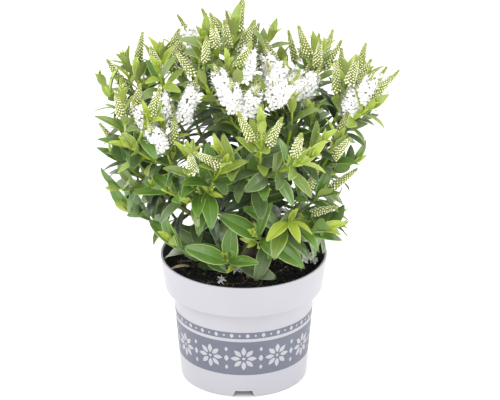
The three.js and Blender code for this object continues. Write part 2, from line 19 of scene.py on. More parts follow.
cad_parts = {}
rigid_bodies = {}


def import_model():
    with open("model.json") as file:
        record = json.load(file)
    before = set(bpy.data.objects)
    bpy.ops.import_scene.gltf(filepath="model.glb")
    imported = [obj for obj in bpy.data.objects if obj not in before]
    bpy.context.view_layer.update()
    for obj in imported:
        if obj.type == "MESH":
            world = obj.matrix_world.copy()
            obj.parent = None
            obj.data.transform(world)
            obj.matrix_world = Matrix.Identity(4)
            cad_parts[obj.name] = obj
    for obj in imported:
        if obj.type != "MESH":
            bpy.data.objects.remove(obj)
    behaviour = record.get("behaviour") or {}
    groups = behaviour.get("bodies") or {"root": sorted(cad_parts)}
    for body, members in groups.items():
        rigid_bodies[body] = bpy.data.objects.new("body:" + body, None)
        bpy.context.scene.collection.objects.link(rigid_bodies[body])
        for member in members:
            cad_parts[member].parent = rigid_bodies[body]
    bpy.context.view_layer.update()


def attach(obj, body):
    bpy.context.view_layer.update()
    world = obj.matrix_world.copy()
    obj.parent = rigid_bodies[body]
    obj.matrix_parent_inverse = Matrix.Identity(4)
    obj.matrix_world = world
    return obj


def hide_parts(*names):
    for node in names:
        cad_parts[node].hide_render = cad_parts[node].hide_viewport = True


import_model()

MM = 0.001
MOST_TRIANGLES = 180000  # in one piece
BODY = "root"
ANY_TURN = 6.3  # radians
UP = np.array([0.0, 0.0, 1.0])
STEEP = 0.9  # rise of a unit direction that UP isn't a good hint for

# ---- pot and soil, as in the solids

POT_HEIGHT = 94
RIM_RADIUS = 60
RIM_THICKNESS = 1.8
BAND_HEIGHT = 24.5
BAND_FOOT_RADIUS = 56.7
BAND_FOOT = POT_HEIGHT - BAND_HEIGHT
STEP_HEIGHT = 3
BODY_TOP = BAND_FOOT - STEP_HEIGHT
BODY_TOP_RADIUS = 50.8
BASE_RADIUS = 45
WALL = 1.3
FLOOR_LIFT = 5.6
FOOT_RADIUS = 14
DRAIN_HOLES = 6
DRAIN_RADIUS = 3.5
DRAIN_REACH = 29
DRAIN_SIDES = 24
NOTCHES = 3
NOTCH_BOTTOM = 16.7  # width just under the ground
NOTCH_TOP = 12
NOTCH_HEIGHT = 5
NOTCH_REACH = 4  # of its cutter, to each side of the standing ring's outer edge
POT_SIDES = 160
POT_FILLET = 0.7  # radius that the moulded corners are rounded to
FILLET_SHARE = 0.45  # of a corner's shorter side, that its rounding takes at most

SOIL_LEVEL = 84
SOIL_EDGE_DROP = 2
SOIL_GAP = 0.45  # to the pot's wall

# ---- growth, as in the solids

STEM_FOOT = (6, 15)
STEM_BEND = (13, 14, 112)
STEM_SUNK = 1.5  # into the soil
STEM_FLARE_RADIUS = 6.2
STEM_FLARE_HEIGHT = 9
FLARE_FALL = 1.6  # how fast the flare ends
STEM_RADIUS = 3.6
LIMB_TIP_RADIUS = 1.3
BOUGH_THICKNESS = 0.72
LIMB_ARRIVAL = 0.42

SHOOT_CURL = 16
NODE_SPACING = 8.8
SIDE_SHARES = (0.22, 0.5)
SIDE_ANGLE = (38, 52)
SIDE_LENGTH = (0.62, 0.82)
SIDE_LIFT = 0.45
SIDE_SWAY = (0.04, 15)
SPIRAL = 137.5

LEAF_WIDEST = 0.46
LEAF_ARCH = 0.07
LEAF_OPEN = (76, 48)
LEAF_DROOP = (0.34, 0.04)
LEAF_LIGHT = 0.45
LEAF_LIFT = 0.18
LEAF_START = 0.5
LEAFY_SHARE = 0.84
LEAF_SHARES = (0.1, 0.9)
LEAF_SIZES = (1.04, 0.74)
LEAF_SWAY = (12, 7)
LEAF_LENGTHS = (0.9, 1.08)
TUFT_SHARES = (0.95, 0.99)
TUFT_SIZES = (0.78, 0.56)
TUFT_OPEN = (30, 14)

SPIKE_SHARE = 0.82
SPIKE_STEP = 4
SPIKE_ANGLE = (40, 54)
SPIKE_STALK = (8, 11)
SPIKE_RISING = (0.7, 1.3)
SPIKE_LIFT = 0.2
SPIKE_SWAY = 14
SIDE_SPIKES = 3
BUD_LENGTH = (23, 30)
BUD_RADIUS = (3.9, 4.5)
OPEN_LENGTH = (31, 39)
OPEN_RADIUS = (6.8, 7.8)

CROWN_MIDDLE = np.array([5.0, 2.0, 205.0])
CROWN_WIDTH = 115
CROWN_DEPTH = 98
CROWN_RISE = 88
CROWN_FALL = 131  # 124 in the solids, whose fewer leaves stop short of the pot
POT_MARGIN = 2.2
SOIL_MARGIN = 1.8

# Each spray is one bough and the foliage on its end. The columns are those of the solids.
Spray = namedtuple("Spray", "name parent share bearing reach height lean length sides spikes open leaf")
SPRAYS = [
    Spray("lead",         "main_stem", 1.0,  322,  44, 220, 16, 56, 2, 0, 0, 33),
    Spray("left_mid",     "main_stem", 0.22, 197,  90, 226, 16, 62, 2, 4, 0, 34),
    Spray("left_back",    "main_stem", 0.38, 169,  60, 244, 15, 58, 2, 3, 1, 30),
    Spray("crown_top",    "main_stem", 0.46, 135,  11, 265,  8, 58, 2, 4, 0, 36),
    Spray("right_mid",    "main_stem", 0.6,  358,  74, 236, 20, 60, 2, 4, 0, 31),
    Spray("front_mid",    "main_stem", 0.28, 282,  62, 218, 22, 66, 2, 3, 0, 33),
    Spray("back_mid",     "main_stem", 0.1,  105,  84, 190, 40, 56, 2, 3, 1, 33),
    Spray("left_low",     "left_mid",  0.55, 186,  89, 171, 58, 48, 2, 1, 0, 34),
    Spray("left_skirt",   "left_mid",  0.3,  189,  82, 132, 72, 50, 2, 0, 0, 38),
    Spray("left_bloom",   "left_mid",  0.7,  212,  68, 210, 20, 54, 2, 4, 3, 31),
    Spray("left_tip",     "left_back", 0.6,  174, 101, 222, 46, 50, 2, 0, 0, 33),
    Spray("left_far",     "left_back", 0.48, 161,  90, 229, 26, 54, 1, 3, 0, 29),
    Spray("left_rear",    "left_back", 0.3,  128,  74, 224, 22, 56, 2, 3, 0, 31),
    Spray("upper_left",   "crown_top", 0.62, 204,  31, 257, 12, 54, 1, 4, 0, 28),
    Spray("crown_bloom",  "crown_top", 0.4,  262,  28, 240, 12, 56, 2, 6, 5, 31),
    Spray("centre_bloom", "crown_top", 0.3,    4,  30, 228, 12, 56, 2, 6, 6, 30),
    Spray("crown_rear",   "crown_top", 0.5,   92,  52, 239, 14, 58, 2, 4, 1, 30),
    Spray("upper_right",  "right_mid", 0.5,   17,  54, 246, 12, 56, 1, 4, 0, 29),
    Spray("right_far",    "right_mid", 0.62, 358,  87, 221, 34, 50, 1, 6, 6, 28),
    Spray("right_front",  "right_mid", 0.36, 338,  71, 192, 38, 54, 2, 2, 0, 33),
    Spray("right_rear",   "right_mid", 0.22,  52,  72, 220, 22, 58, 2, 3, 0, 31),
    Spray("right_low",    "main_stem", 0.46, 332,  61, 152, 54, 46, 2, 3, 0, 35),
    Spray("right_skirt",  "main_stem", 0.38,  14,  60, 150, 58, 46, 2, 0, 0, 35),
    Spray("front_left",   "front_mid", 0.6,  238,  72, 196, 30, 58, 2, 3, 0, 33),
    Spray("front_skirt",  "front_mid", 0.2,  258,  58, 115, 66, 44, 2, 0, 0, 40),
    Spray("front_low",    "left_mid",  0.14, 226,  70, 124, 60, 46, 2, 0, 0, 40),
    Spray("front_right",  "front_mid", 0.4,  302,  62, 144, 52, 48, 2, 0, 0, 41),
    Spray("back_right",   "back_mid",  0.42,  66,  86, 180, 46, 52, 2, 2, 0, 33),
    Spray("back_skirt",   "back_mid",  0.25,  92,  70, 132, 66, 46, 2, 0, 0, 37),
]

# ---- finer growth, in the looks only

LIMB_RINGS = 44
LIMB_SIDES = 14
LIMB_STEP = 6  # from ring to ring of its stand-in
BARK_RELIEF = 0.26  # height of the bark's ridges on the thickest limb
BARK_RIDGES = range(3, 8)  # how many go round a limb, wave by wave
BARK_TWIST = 0.12  # radians to a millimetre, at most
SCAR_WIDTH = 0.8  # of an old leaf's scar
WOODY_RADIUS = 1.75  # under which a limb's bark is green

SHOOT_RINGS = 9
SHOOT_SIDES = 8
SHOOT_RADII = (1.25, 0.85)
SHOOT_SUNK = 1.2  # how far a shoot's foot runs back into what carries it
NODE_SWELL = 0.1  # of a shoot's radius, where a pair of leaves sits
OLIVE_SHARE = 0.4  # of a shoot's length, at its foot, that has turned olive
LOW_OLIVE_SHARE = 0.9  # the same in a low spray

FINE_SPACING = 6.9  # from pair to pair of leaves, with leaves of a plant's true size
FINE_LEAF = (1.0, 0.84)  # their length, of the solids' leaves, low and high in the crown
FINE_HEIGHTS = (125, 215)  # the heights of those sprays
LEAF_WIDTH = (0.31, 0.4)  # of its length
LEAF_FOOT = 1.5  # width of the root
YOUNG_WIDTH = (0.27, 0.33)
LEAF_ROUNDNESS = (0.7, 0.94)  # of the outline: lower is blunter, with 1 for a plain pointed leaf
LEAF_FOLD = (0.12, 0.34)  # rise from the midrib to the margin, of half the width
YOUNG_FOLD = 0.25  # more in a young leaf
LEAF_ROLL = 16  # degrees that a leaf turns about its own midrib
LEAF_EDGE = 0.12  # how far the margin turns down again
LEAF_KEEL = 0.55  # depth of the midrib under the blade
LEAF_GROOVE = 0.1  # depth of the line over the midrib
LEAF_CURL = (0.0, 0.14)  # how far the tip hangs, of the length
BUD_TUFT_SIZES = (0.36, 0.2)  # the smallest leaves, folded over the shoot's tip
BUD_TUFT_OPEN = (9, 4)
# What a leaf tries until it has room: its turn round the shoot, its size and how much it droops.
GIVE_WAY = [
    (0, 1, 1), (16, 1, 1), (-16, 1, 1), (0, 1, 0.3),
    (0, 0.84, 0.6), (30, 0.9, 0.3), (-30, 0.9, 0.3), (0, 0.68, 0.3),
]

LOW_SPRAY = 160  # height under which a spray's leaves are older
LOW_DROOP = 0.55  # further droop of its leaves, which are the heaviest
SHED_FROM = 3  # the pair below the tuft of a low spray from which leaves have dropped
SHED = 0.25  # the chance of it
THIN_SPRAYS = {"right_low": 0.5, "right_skirt": 0.6, "left_low": 0.4, "left_skirt": 0.75}  # and in these
LONE_SHOOTS = ("front_skirt", "front_low")  # sprays with no side shoot, so that the soil shows
HANGING = (*LONE_SHOOTS, "front_right")  # sprays whose leaves hang still more
FRONT_DROOP = 1.1  # the further droop there
FLANK_REACH = 76  # how far right the low leaves reach
FLANK_FOOT = 124  # height from which they reach further
FLANK_FLARE = 0.0034  # by how much, with the square of the height over it
SKIRT_RISE = 1.2  # how much higher leaves stay for each millimetre that they reach past the pot's rim
STEM_GAP = 7  # half the width of the gap in the front leaves through which the stem's foot shows
STEM_GAP_HEIGHTS = (86, 110)  # of the stretch of stem that shows
STEM_GAP_RISE = 0.47  # how much the gap rises for each millimetre in front of the stem

# Ages of leaf, youngest first, and last the shaded tone: painted shade for leaves inside the crown.
LEAF_AGES_AND_SHADE = ("young", "fresh", "grown", "deep", "old", "shaded")
# How many of ten leaves have each tone: in the tip, in the next pair and so on down a shoot.
HIGH_TONES = [
    (9, 1, 0, 0, 0, 0),
    (6, 4, 0, 0, 0, 0),
    (2, 5, 3, 0, 0, 0),
    (0, 4, 4, 1, 1, 0),
    (0, 2, 4, 2, 2, 0),
]
LOW_TONES = [
    (4, 3, 0, 3, 0, 0),
    (1, 2, 0, 7, 0, 0),
    (0, 1, 1, 7, 1, 0),
    (0, 0, 1, 7, 2, 0),
    (0, 0, 1, 5, 4, 0),
]
LOW_LEAF = 180  # height under which every leaf has the low tones
# Painted shade: below the tufts, leaves deep inside the crown take these darker tones.
INNER_TONES = (0, 0, 3, 2, 3, 2)  # the same below the tufts, deep inside the crown
INNER_DEPTH = 0.42
INNER_TOP = 215
YELLOWING = 0.03  # chance that an old low leaf is turning yellow

AXIL_CHANCE = 0.34  # that a leaf has a young twig in its axil
AXIL_FROM = 2  # the pair below the tuft from which leaves may have one
AXIL_ANGLE = (32, 46)
AXIL_LIFT = 0.4
AXIL_LENGTH = (4, 9)
AXIL_RADII = (0.7, 0.45)
AXIL_LEAF = (8, 14)
AXIL_PAIRS = [(0.72, 1.0, 46), (0.95, 0.7, 20)]  # share of the twig's length, size and opening angle

BOUGH_LEAFY = 0.6  # the share of a bough, at its tip, that carries old leaves
BOUGH_DROOP = 0.4
BOUGH_OPEN = (70, 88)
BOUGH_SWAY = 14
BOUGH_LEAF = (0.8, 1.04)
# Painted shade: bough leaves lie inside the crown, so many take the shaded tone.
BOUGH_SHADED = 0.6  # the share of these leaves that has the shaded tone

STALK_RADIUS = 0.5
STALK_FOOT = 1.2  # how much thicker it is at its root
STALK_BEND = 0.6  # where it bends, from root to collar
STEEP_SPIKE = 0.95  # as STEEP, for a spike
SPIKE_FULLNESS = (0.9, 1.3)  # chance in how thick a spike in bud is
SPIKE_SPACE = (0.7, 0.42)  # of its radius, that a spike in bud or in flower keeps to itself
LEAFY_SPRAYS = {"front_left": 1}  # sprays that show more leaf, and how many spikes they keep
# The spike that juts out on the right: its spray, where on the leading shoot its stalk starts, its
# direction and the lengths of its stalk and its head. It takes the place of the spray's first one.
JUTTING_SPIKE = ("right_low", 0.8, (0.785, 0.07, 0.615), 15, 28)
CORE_SHARES = (0, 0.07, 0.35, 0.7, 0.9, 1)  # up the green spindle that carries the buds
CORE_WIDTHS = (0.4, 0.58, 0.54, 0.38, 0.2, 0.08)  # its radius there, of the spike's
OPEN_CORE = 0.5  # how thick an open spike's is, of that
CORE_END = 0.98  # share of the spike's length at which it ends

BUD_SHARES = (0.05, 0.985)  # of a closed spike's length, between which it has buds
BUD_PITCH = (2.7, 1.4)  # from bud to bud at a spike's foot and tip
BUD_CLOSENESS = 0.92  # how close together they sit, with 1 for just a pitch apart
BUD_SEAT = 0.85  # of the core's radius, at which they sit
BUD_FILL = 0.68  # a bud's width, of the pitch
BUD_SLANT = (84, 36)  # degrees off the spike's axis
BUD_SWAY = 0.12  # chance in a bud's place round the spike, in radians
BUD_SIZES = (0.78, 1.16)  # chance in its size
GREEN_TIP = (0.8, 0.93)  # share of its length from which a spike's buds are still green
SWELLING_CHANCE = 0.4  # that its lowest buds are about to open
SWELLING = (0.3, 0.55)  # up to which share of its length, and how much bigger they are
WHITE_FROM = 0.3  # how far a bud has swollen when its cap is white

FLOWER_SHARE = 0.7  # of an open spike's length that is in flower
FLOWER_SWAY = 0.06  # chance in that
FLOWERS_FROM = 0.03  # share of its length at which the flowers start
FLOWER_PITCH = 3.7
FLOWER_SLANT = (58, 84)
FLOWER_SIZES = (0.84, 1.04)
FLOWER_TAPER = 0.8  # size of its last flowers, of the first ones'
FLOWER_REACH = 7.6  # radius of a spike whose flowers have the size 1

# ---- view

CAMERA_DISTANCE = 3530  # in front of the pot's axis
CAMERA_HEIGHT = 1789
CAMERA_ASIDE = 4.5
CAMERA_TILT = 25.1  # degrees below level
CAMERA_LENS = 392
CAMERA_END = 50  # metres


# ---- small helpers

def mix(a, b, share):
    return a + (b - a) * share


def unit(vector):
    return vector / np.linalg.norm(vector)


def place(bearing, reach, height):
    """Point at a bearing from the right, a reach from the pot's axis and a height."""
    angle = radians(bearing)
    return np.array([reach * cos(angle), reach * sin(angle), height])


def leaning(bearing, lean):
    """Unit direction that leans from the vertical toward a bearing."""
    return place(bearing, sin(radians(lean)), cos(radians(lean)))


def square_to(direction, hint):
    """Unit vector square to a direction, as near to a hint as it can be."""
    return unit(hint - direction * hint.dot(direction))


def seeded_draw(seed):
    """Repeatable numbers for one mass: a function that draws between two limits."""
    limit = 2**32
    state = (seed * 2654435761) % limit

    def draw(low, high):
        nonlocal state
        state = (state * 1664525 + 1013904223) % limit
        return low + (high - low) * (state / limit)

    draw(0, 1)
    draw(0, 1)
    return draw


def circle(sides):
    """Angles in radians, evenly round a circle."""
    return np.linspace(0, 2 * pi, sides, endpoint=False)


def bend(a, b, c, steps):
    """Points on the curve from a to c that b pulls toward itself."""
    share = np.linspace(0, 1, steps + 1)[:, None]
    return (1 - share) ** 2 * a + 2 * share * (1 - share) * b + share**2 * c


def at_share(points, share):
    """Point and direction at a share of a path."""
    spot = share * (len(points) - 1)
    index = min(int(spot), len(points) - 2)
    step = points[index + 1] - points[index]
    return points[index] + step * (spot - index), unit(step)


def chances(chance, low, high, count):
    """Chance numbers between two limits."""
    return np.array([chance.uniform(low, high) for _ in range(count)])


# ---- meshes

Shape = namedtuple("Shape", "points triangles slots")


def plain(points, triangles, slot=0):
    """Shape with one material throughout."""
    return Shape(np.asarray(points), triangles, np.full(len(triangles), slot))


def joined(*shapes):
    starts = np.cumsum([0] + [len(shape.points) for shape in shapes[:-1]])
    return Shape(
        np.concatenate([shape.points for shape in shapes]),
        np.concatenate([shape.triangles + start for shape, start in zip(shapes, starts)]),
        np.concatenate([shape.slots for shape in shapes]),
    )


def grid_triangles(rows, columns, closed=False):
    """Two triangles for each cell of a grid of points, row after row."""
    across = columns if closed else columns - 1
    row, column = np.meshgrid(np.arange(rows - 1), np.arange(across), indexing="ij")
    ahead = (column + 1) % columns
    a, b = row * columns + column, row * columns + ahead
    c, d = a + columns, b + columns
    return np.stack([a, b, d, a, d, c], axis=-1).reshape(-1, 3)


def capped_triangles(rings, sides):
    """Triangles of a closed skin. After its rings of points come the middles of its two ends."""
    ring = np.arange(sides)
    ahead = (ring + 1) % sides
    last = (rings - 1) * sides
    foot = np.stack([np.full(sides, last + sides), ahead, ring], axis=-1)
    top = np.stack([np.full(sides, last + sides + 1), last + ring, last + ahead], axis=-1)
    return np.concatenate([grid_triangles(rings, sides, closed=True), foot, top])


def tube(points, radii, sides, slot=0, relief=None):
    """Closed skin round a path. relief gives how far each of its points stands out."""
    points, radii = np.asarray(points, float), np.asarray(radii, float)
    steps = np.gradient(points, axis=0)
    directions = steps / np.linalg.norm(steps, axis=1)[:, None]
    hint = UP if abs(directions[0][2]) < STEEP else np.array([0.0, 1.0, 0.0])
    rings, angles = [], circle(sides)
    for i, direction in enumerate(directions):
        hint = square_to(direction, hint)
        other = np.cross(direction, hint)
        radius = radii[i] + (relief[i] if relief is not None else 0)
        ring = np.outer(np.cos(angles) * radius, hint) + np.outer(np.sin(angles) * radius, other)
        rings.append(points[i] + ring)
    corners = np.concatenate([*rings, points[:1], points[-1:]])
    return plain(corners, capped_triangles(len(points), sides), slot)


def add_object(name, data):
    made = bpy.data.objects.new(name, data)
    bpy.context.scene.collection.objects.link(made)
    return made


def make_piece(name, shape, finishes, replaced=(), smooth=True):
    """Blender object from a shape in millimetres, riding on the plant's one body."""
    mesh = bpy.data.meshes.new(name)
    mesh.from_pydata(shape.points * MM, [], shape.triangles)
    mesh.polygons.foreach_set("material_index", shape.slots.astype(np.int32))
    mesh.polygons.foreach_set("use_smooth", np.full(len(shape.triangles), smooth))
    for finish in finishes:
        mesh.materials.append(material(finish))
    made = add_object(name, mesh)
    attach(made, BODY)
    if replaced:
        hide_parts(*replaced)
    return made


class Batch:
    """Small shapes of one kind, joined into pieces of a bounded size."""

    def __init__(self, name, finishes, slot):
        self.name, self.finishes, self.slot = name, finishes, slot
        self.chunks = [[]]
        self.size = 0

    def add(self, shape):
        if self.size + len(shape.triangles) > MOST_TRIANGLES:
            self.chunks.append([])
            self.size = 0
        self.chunks[-1].append(shape)
        self.size += len(shape.triangles)

    def make_pieces(self, replaced):
        for number, chunk in enumerate(self.chunks, 1):
            make_piece(f"{self.name}_{number}", joined(*chunk), self.finishes, replaced)


def copies(template, origins, frames, sizes, slots=None):
    """One shape that holds a copy of the template at each origin."""
    count, corners = len(origins), len(template.points)
    turned = np.einsum("nij,pj->npi", frames, template.points) * np.asarray(sizes)[:, None, None]
    points = (np.asarray(origins)[:, None] + turned).reshape(-1, 3)
    triangles = (template.triangles[None] + corners * np.arange(count)[:, None, None]).reshape(-1, 3)
    return Shape(points, triangles, np.tile(template.slots, count) if slots is None else slots.ravel())


def frames_along(directions, spins):
    """A turning matrix for each direction: its third column is the direction."""
    directions = directions / np.linalg.norm(directions, axis=1)[:, None]
    hint = np.where(np.abs(directions[:, 2:]) < STEEP, UP, np.array([0.0, 1.0, 0.0]))
    side = np.cross(hint, directions)
    side /= np.linalg.norm(side, axis=1)[:, None]
    other = np.cross(directions, side)
    turned = side * np.cos(spins)[:, None] + other * np.sin(spins)[:, None]
    return np.stack([turned, np.cross(directions, turned), directions], axis=-1)


# ---- materials

def shade(red, green, blue):
    """Colour from its screen values, 0 to 255, as the linear colour that a shader takes."""
    values = [channel / 255 for channel in (red, green, blue)]
    return tuple(v / 12.92 if v <= 0.04045 else ((v + 0.055) / 1.055) ** 2.4 for v in values) + (1.0,)


def darker(colour, amount):
    return tuple(channel * amount for channel in colour[:3]) + (1.0,)


def between(first, second, share):
    return tuple(mix(a, b, share) for a, b in zip(first, second))


Finish = namedtuple("Finish", "first second roughness scale bump bump_scale sheen coat", defaults=[0] * 4)

# Each surface: its two shades as on a screen, its roughness, how fine the shades drift, how strong and
# how fine its relief is, and its sheen.
LOOKS = {
    "shoot_green": ((168, 190, 62), (142, 166, 54), 0.5, 60, 0.2, 700),
    "shoot_olive": ((122, 142, 66), (98, 118, 54), 0.55, 60, 0.3, 700),
    "bud_cup": ((175, 182, 99), (157, 164, 85), 0.6, 300),
    "bud_pale": ((249, 250, 225), (239, 242, 207), 0.5, 300),
    "bud_green": ((168, 170, 100), (148, 152, 80), 0.6, 300),
    "bud_core": ((142, 152, 60), (122, 132, 50), 0.7, 300),
    "bud_white": ((253, 253, 238), (246, 248, 226), 0.5, 300),
    "petal": ((255, 255, 253), (250, 250, 250), 0.6, 200, 0, 0, 0.3),
    "filament": ((252, 252, 246), (246, 247, 238), 0.6, 200),
    "anther": ((186, 176, 150), (150, 140, 120), 0.7, 200),
    "bark": ((100, 88, 72), (68, 60, 52), 0.85, 120, 0.8, 500),
    "bark_green": ((134, 146, 70), (112, 118, 60), 0.7, 90, 0.5, 500),
    "pot_white": ((170, 169, 175), (166, 165, 172), 0.34, 18, 0.05, 1500),
    "pot_black": ((30, 30, 32), (22, 22, 24), 0.5, 18, 0.05, 1500),
    "print_ink": ((99, 102, 115), (94, 97, 110), 0.4, 40, 0.03, 1500),
    "print_blank": ((170, 169, 175), (166, 165, 172), 0.38, 40, 0.03, 1500),
    "soil": ((26, 24, 22), (12, 12, 12), 0.95, 260, 1.0, 900),
    "crumb_dark": ((30, 28, 26), (14, 14, 14), 0.95, 300, 0.8, 1200),
    "crumb_brown": ((84, 72, 56), (50, 43, 35), 0.9, 300, 0.8, 1200),
    "fibre": ((168, 154, 122), (92, 80, 60), 0.8, 150),
    "dead_leaf": ((222, 212, 178), (186, 170, 130), 0.8, 200, 0.6, 600),
    "pale_grain": ((206, 190, 150), (176, 158, 118), 0.8, 200),
}
FINISHES = {"floor": Finish((0.9, 0.9, 0.9, 1), (0.88, 0.88, 0.88, 1), 0.9, 2)}
for name, (first, second, *rest) in LOOKS.items():
    FINISHES[name] = Finish(shade(*first), shade(*second), *rest)
TWIG_FINISHES = ["shoot_green", "shoot_olive"]
BUD_FINISHES = ["bud_cup", "bud_pale", "bud_green", "bud_core", "bud_white"]
FLOWER_FINISHES = ["petal", "filament", "anther"]

# Tones of leaf, youngest first, then shaded, a darker tone that is painted shade, and yellowing: blade
# from above, blade from below, and margin.
LEAF_TONES = {
    "young": ((160, 180, 60), (174, 190, 92), (202, 214, 126)),
    "fresh": ((134, 155, 58), (152, 170, 92), (188, 202, 122)),
    "grown": ((110, 133, 56), (136, 154, 88), (168, 186, 108)),
    "deep": ((84, 120, 42), (116, 144, 78), (156, 182, 98)),
    "old": ((84, 106, 60), (116, 133, 90), (136, 158, 100)),
    # painted shade: darker leaves for the inside of the crown, where shade falls
    "shaded": ((58, 74, 50), (86, 102, 74), (100, 118, 80)),
    "yellowing": ((134, 156, 56), (156, 176, 86), (184, 200, 116)),
}
RIB_PALENESS = 0.45  # of the midrib, from the blade's tone to the margin's
TONES = list(LEAF_TONES)
BLADE, BELOW, EDGE, RIB = range(4)  # the four finishes of each tone
PARTS = 4

LEAF_FINISHES = []
for tone, colours in LEAF_TONES.items():
    blade, below, edge = (shade(*colour) for colour in colours)
    rib = between(blade, edge, RIB_PALENESS)
    four = {
        f"leaf_{tone}_blade": Finish(blade, darker(blade, 0.8), 0.36, 90, 0.25, 900, coat=0.15),
        f"leaf_{tone}_below": Finish(below, darker(below, 0.86), 0.55, 90, 0.2, 900),
        f"leaf_{tone}_edge": Finish(edge, darker(edge, 0.9), 0.45, 90),
        f"leaf_{tone}_rib": Finish(rib, darker(rib, 0.9), 0.45, 90),
    }
    FINISHES.update(four)
    LEAF_FINISHES += four

DRIFT_DETAIL = 3
DRIFT_ENDS = (0.35, 0.65)  # values of the drift's noise at which each shade is full
RELIEF_DETAIL = 4
RELIEF_HEIGHT = 0.0004  # metres


@cache
def material(name):
    """A surface whose colour drifts between its two near shades, with a fine relief."""
    finish = FINISHES[name]
    made = bpy.data.materials.new(name)
    made.use_nodes = True
    nodes, links = made.node_tree.nodes, made.node_tree.links
    shader = nodes["Principled BSDF"]
    shader.inputs["Roughness"].default_value = finish.roughness
    shader.inputs["Sheen Weight"].default_value = finish.sheen
    shader.inputs["Coat Weight"].default_value = finish.coat
    where = nodes.new("ShaderNodeTexCoord")

    def noise(scale, detail):
        texture = nodes.new("ShaderNodeTexNoise")
        texture.inputs["Scale"].default_value = scale
        texture.inputs["Detail"].default_value = detail
        links.new(where.outputs["Object"], texture.inputs["Vector"])
        return texture.outputs["Fac"]

    ramp = nodes.new("ShaderNodeValToRGB")
    for stop, position, colour in zip(ramp.color_ramp.elements, DRIFT_ENDS, (finish.first, finish.second)):
        stop.position = position
        stop.color = colour
    links.new(noise(finish.scale, DRIFT_DETAIL), ramp.inputs["Fac"])
    links.new(ramp.outputs["Color"], shader.inputs["Base Color"])
    if finish.bump:
        raised = nodes.new("ShaderNodeBump")
        raised.inputs["Strength"].default_value = finish.bump
        raised.inputs["Distance"].default_value = RELIEF_HEIGHT
        links.new(noise(finish.bump_scale, RELIEF_DETAIL), raised.inputs["Height"])
        links.new(raised.outputs["Normal"], shader.inputs["Normal"])
    return made


# ---- leaves

LEAF_ROWS = np.array([0, 0.05, 0.15, 0.29, 0.46, 0.62, 0.77, 0.9, 1.0])
LEAF_COLUMNS = np.array([-1, -0.91, -0.46, -0.028, 0.028, 0.46, 0.91, 1])
WIDEST_POWER = log(0.5) / log(LEAF_WIDEST)  # puts the outline's widest place at LEAF_WIDEST
LEAF_OUTLINE = np.sin(pi * LEAF_ROWS**WIDEST_POWER).clip(0)
LEAF_ROOT = 0.1  # share of the length that is the root, and its width at most
GROOVED = np.outer(LEAF_OUTLINE > 0.2, np.abs(LEAF_COLUMNS) < LEAF_ROOT)  # points over the midrib
KEEL_END = 0.05  # depth of the keel at the leaf's tip
TOP_TRIANGLES = grid_triangles(len(LEAF_ROWS), len(LEAF_COLUMNS))
BELOW_TRIANGLES = grid_triangles(len(LEAF_ROWS), 3)[:, ::-1]
TOP_SLOTS = np.tile(np.repeat([EDGE, BLADE, BLADE, RIB, BLADE, BLADE, EDGE], 2), len(LEAF_ROWS) - 1)
TOP_ROWS = np.repeat(np.arange(len(LEAF_ROWS) - 1), 2 * (len(LEAF_COLUMNS) - 1))
PALE_ROWS = {"fresh": 3, "grown": 1, "deep": 1, "old": 1}  # rows at the root with the next younger tone

Form = namedtuple("Form", "width fold curl roll roundness")
Leaf = namedtuple("Leaf", "foot line face length tone form")
# Where a leaf grows: share of the shoot's length, turn round the shoot, how far it opens, its length, how
# much it droops, and its rank. The tuft's pairs have -1 and 0, and those below count up from 1.
Seat = namedtuple("Seat", "share turn angle length droop rank", defaults=(0, 0))


def leaf_form(chance, tone):
    """Width and fold of a blade, how its tip hangs, how its face turns and how blunt it is."""
    young = tone == "young"
    width = chance.uniform(*(YOUNG_WIDTH if young else LEAF_WIDTH))
    fold = chance.uniform(*LEAF_FOLD) + (YOUNG_FOLD if young else 0)
    curl, roll = chance.uniform(*LEAF_CURL), chance.uniform(-1, 1) * LEAF_ROLL
    return Form(width, fold, curl, roll, chance.uniform(*LEAF_ROUNDNESS))


def leaf_at(shoot, seat, tone, form):
    """A leaf's root, its direction and the way that its face looks."""
    point, direction = at_share(shoot.points, seat.share)
    away = opening(shoot, direction, seat.turn, seat.angle)
    foot = point + away * LEAF_START
    line = unit(away + UP * (LEAF_LIFT - seat.droop))
    face = square_to(line, square_to(line, direction) + UP * LEAF_LIGHT)
    roll = radians(form.roll)
    face = face * cos(roll) + np.cross(line, face) * sin(roll)
    return Leaf(foot, line, face, seat.length, tone, form)


def leaf_shape(leaf):
    """A blade with a pale margin and midrib above, and a keel below."""
    form, length = leaf.form, leaf.length
    across = np.cross(leaf.face, leaf.line)
    foot = np.where(LEAF_ROWS < LEAF_ROOT, min(LEAF_FOOT, LEAF_ROOT * length) / 2, 0)
    half = np.maximum(LEAF_OUTLINE**form.roundness * length * form.width / 2, foot)
    rise = LEAF_ARCH * length * 4 * LEAF_ROWS * (1 - LEAF_ROWS) - form.curl * length * LEAF_ROWS**3
    middle = leaf.foot + np.outer(LEAF_ROWS * length, leaf.line) + np.outer(rise, leaf.face)
    spread = np.abs(LEAF_COLUMNS)
    height = np.outer(half, form.fold * spread - LEAF_EDGE * spread**4) - LEAF_GROOVE * GROOVED
    top = middle[:, None] + np.einsum("r,c,k->rck", half, LEAF_COLUMNS, across)
    top = top + np.einsum("rc,k->rck", height, leaf.face)
    keel = middle - np.outer(LEAF_KEEL * np.sqrt(LEAF_OUTLINE) + KEEL_END, leaf.face)
    below = np.stack([top[:, 0], keel, top[:, -1]], axis=1)
    points = np.concatenate([top.reshape(-1, 3), below.reshape(-1, 3)])
    triangles = np.concatenate([TOP_TRIANGLES, BELOW_TRIANGLES + height.size])
    younger = TOP_ROWS < PALE_ROWS.get(leaf.tone, 0)
    slots = np.concatenate([TOP_SLOTS - PARTS * younger, np.full(len(BELOW_TRIANGLES), BELOW)])
    return Shape(points, triangles, slots + PARTS * TONES.index(leaf.tone))


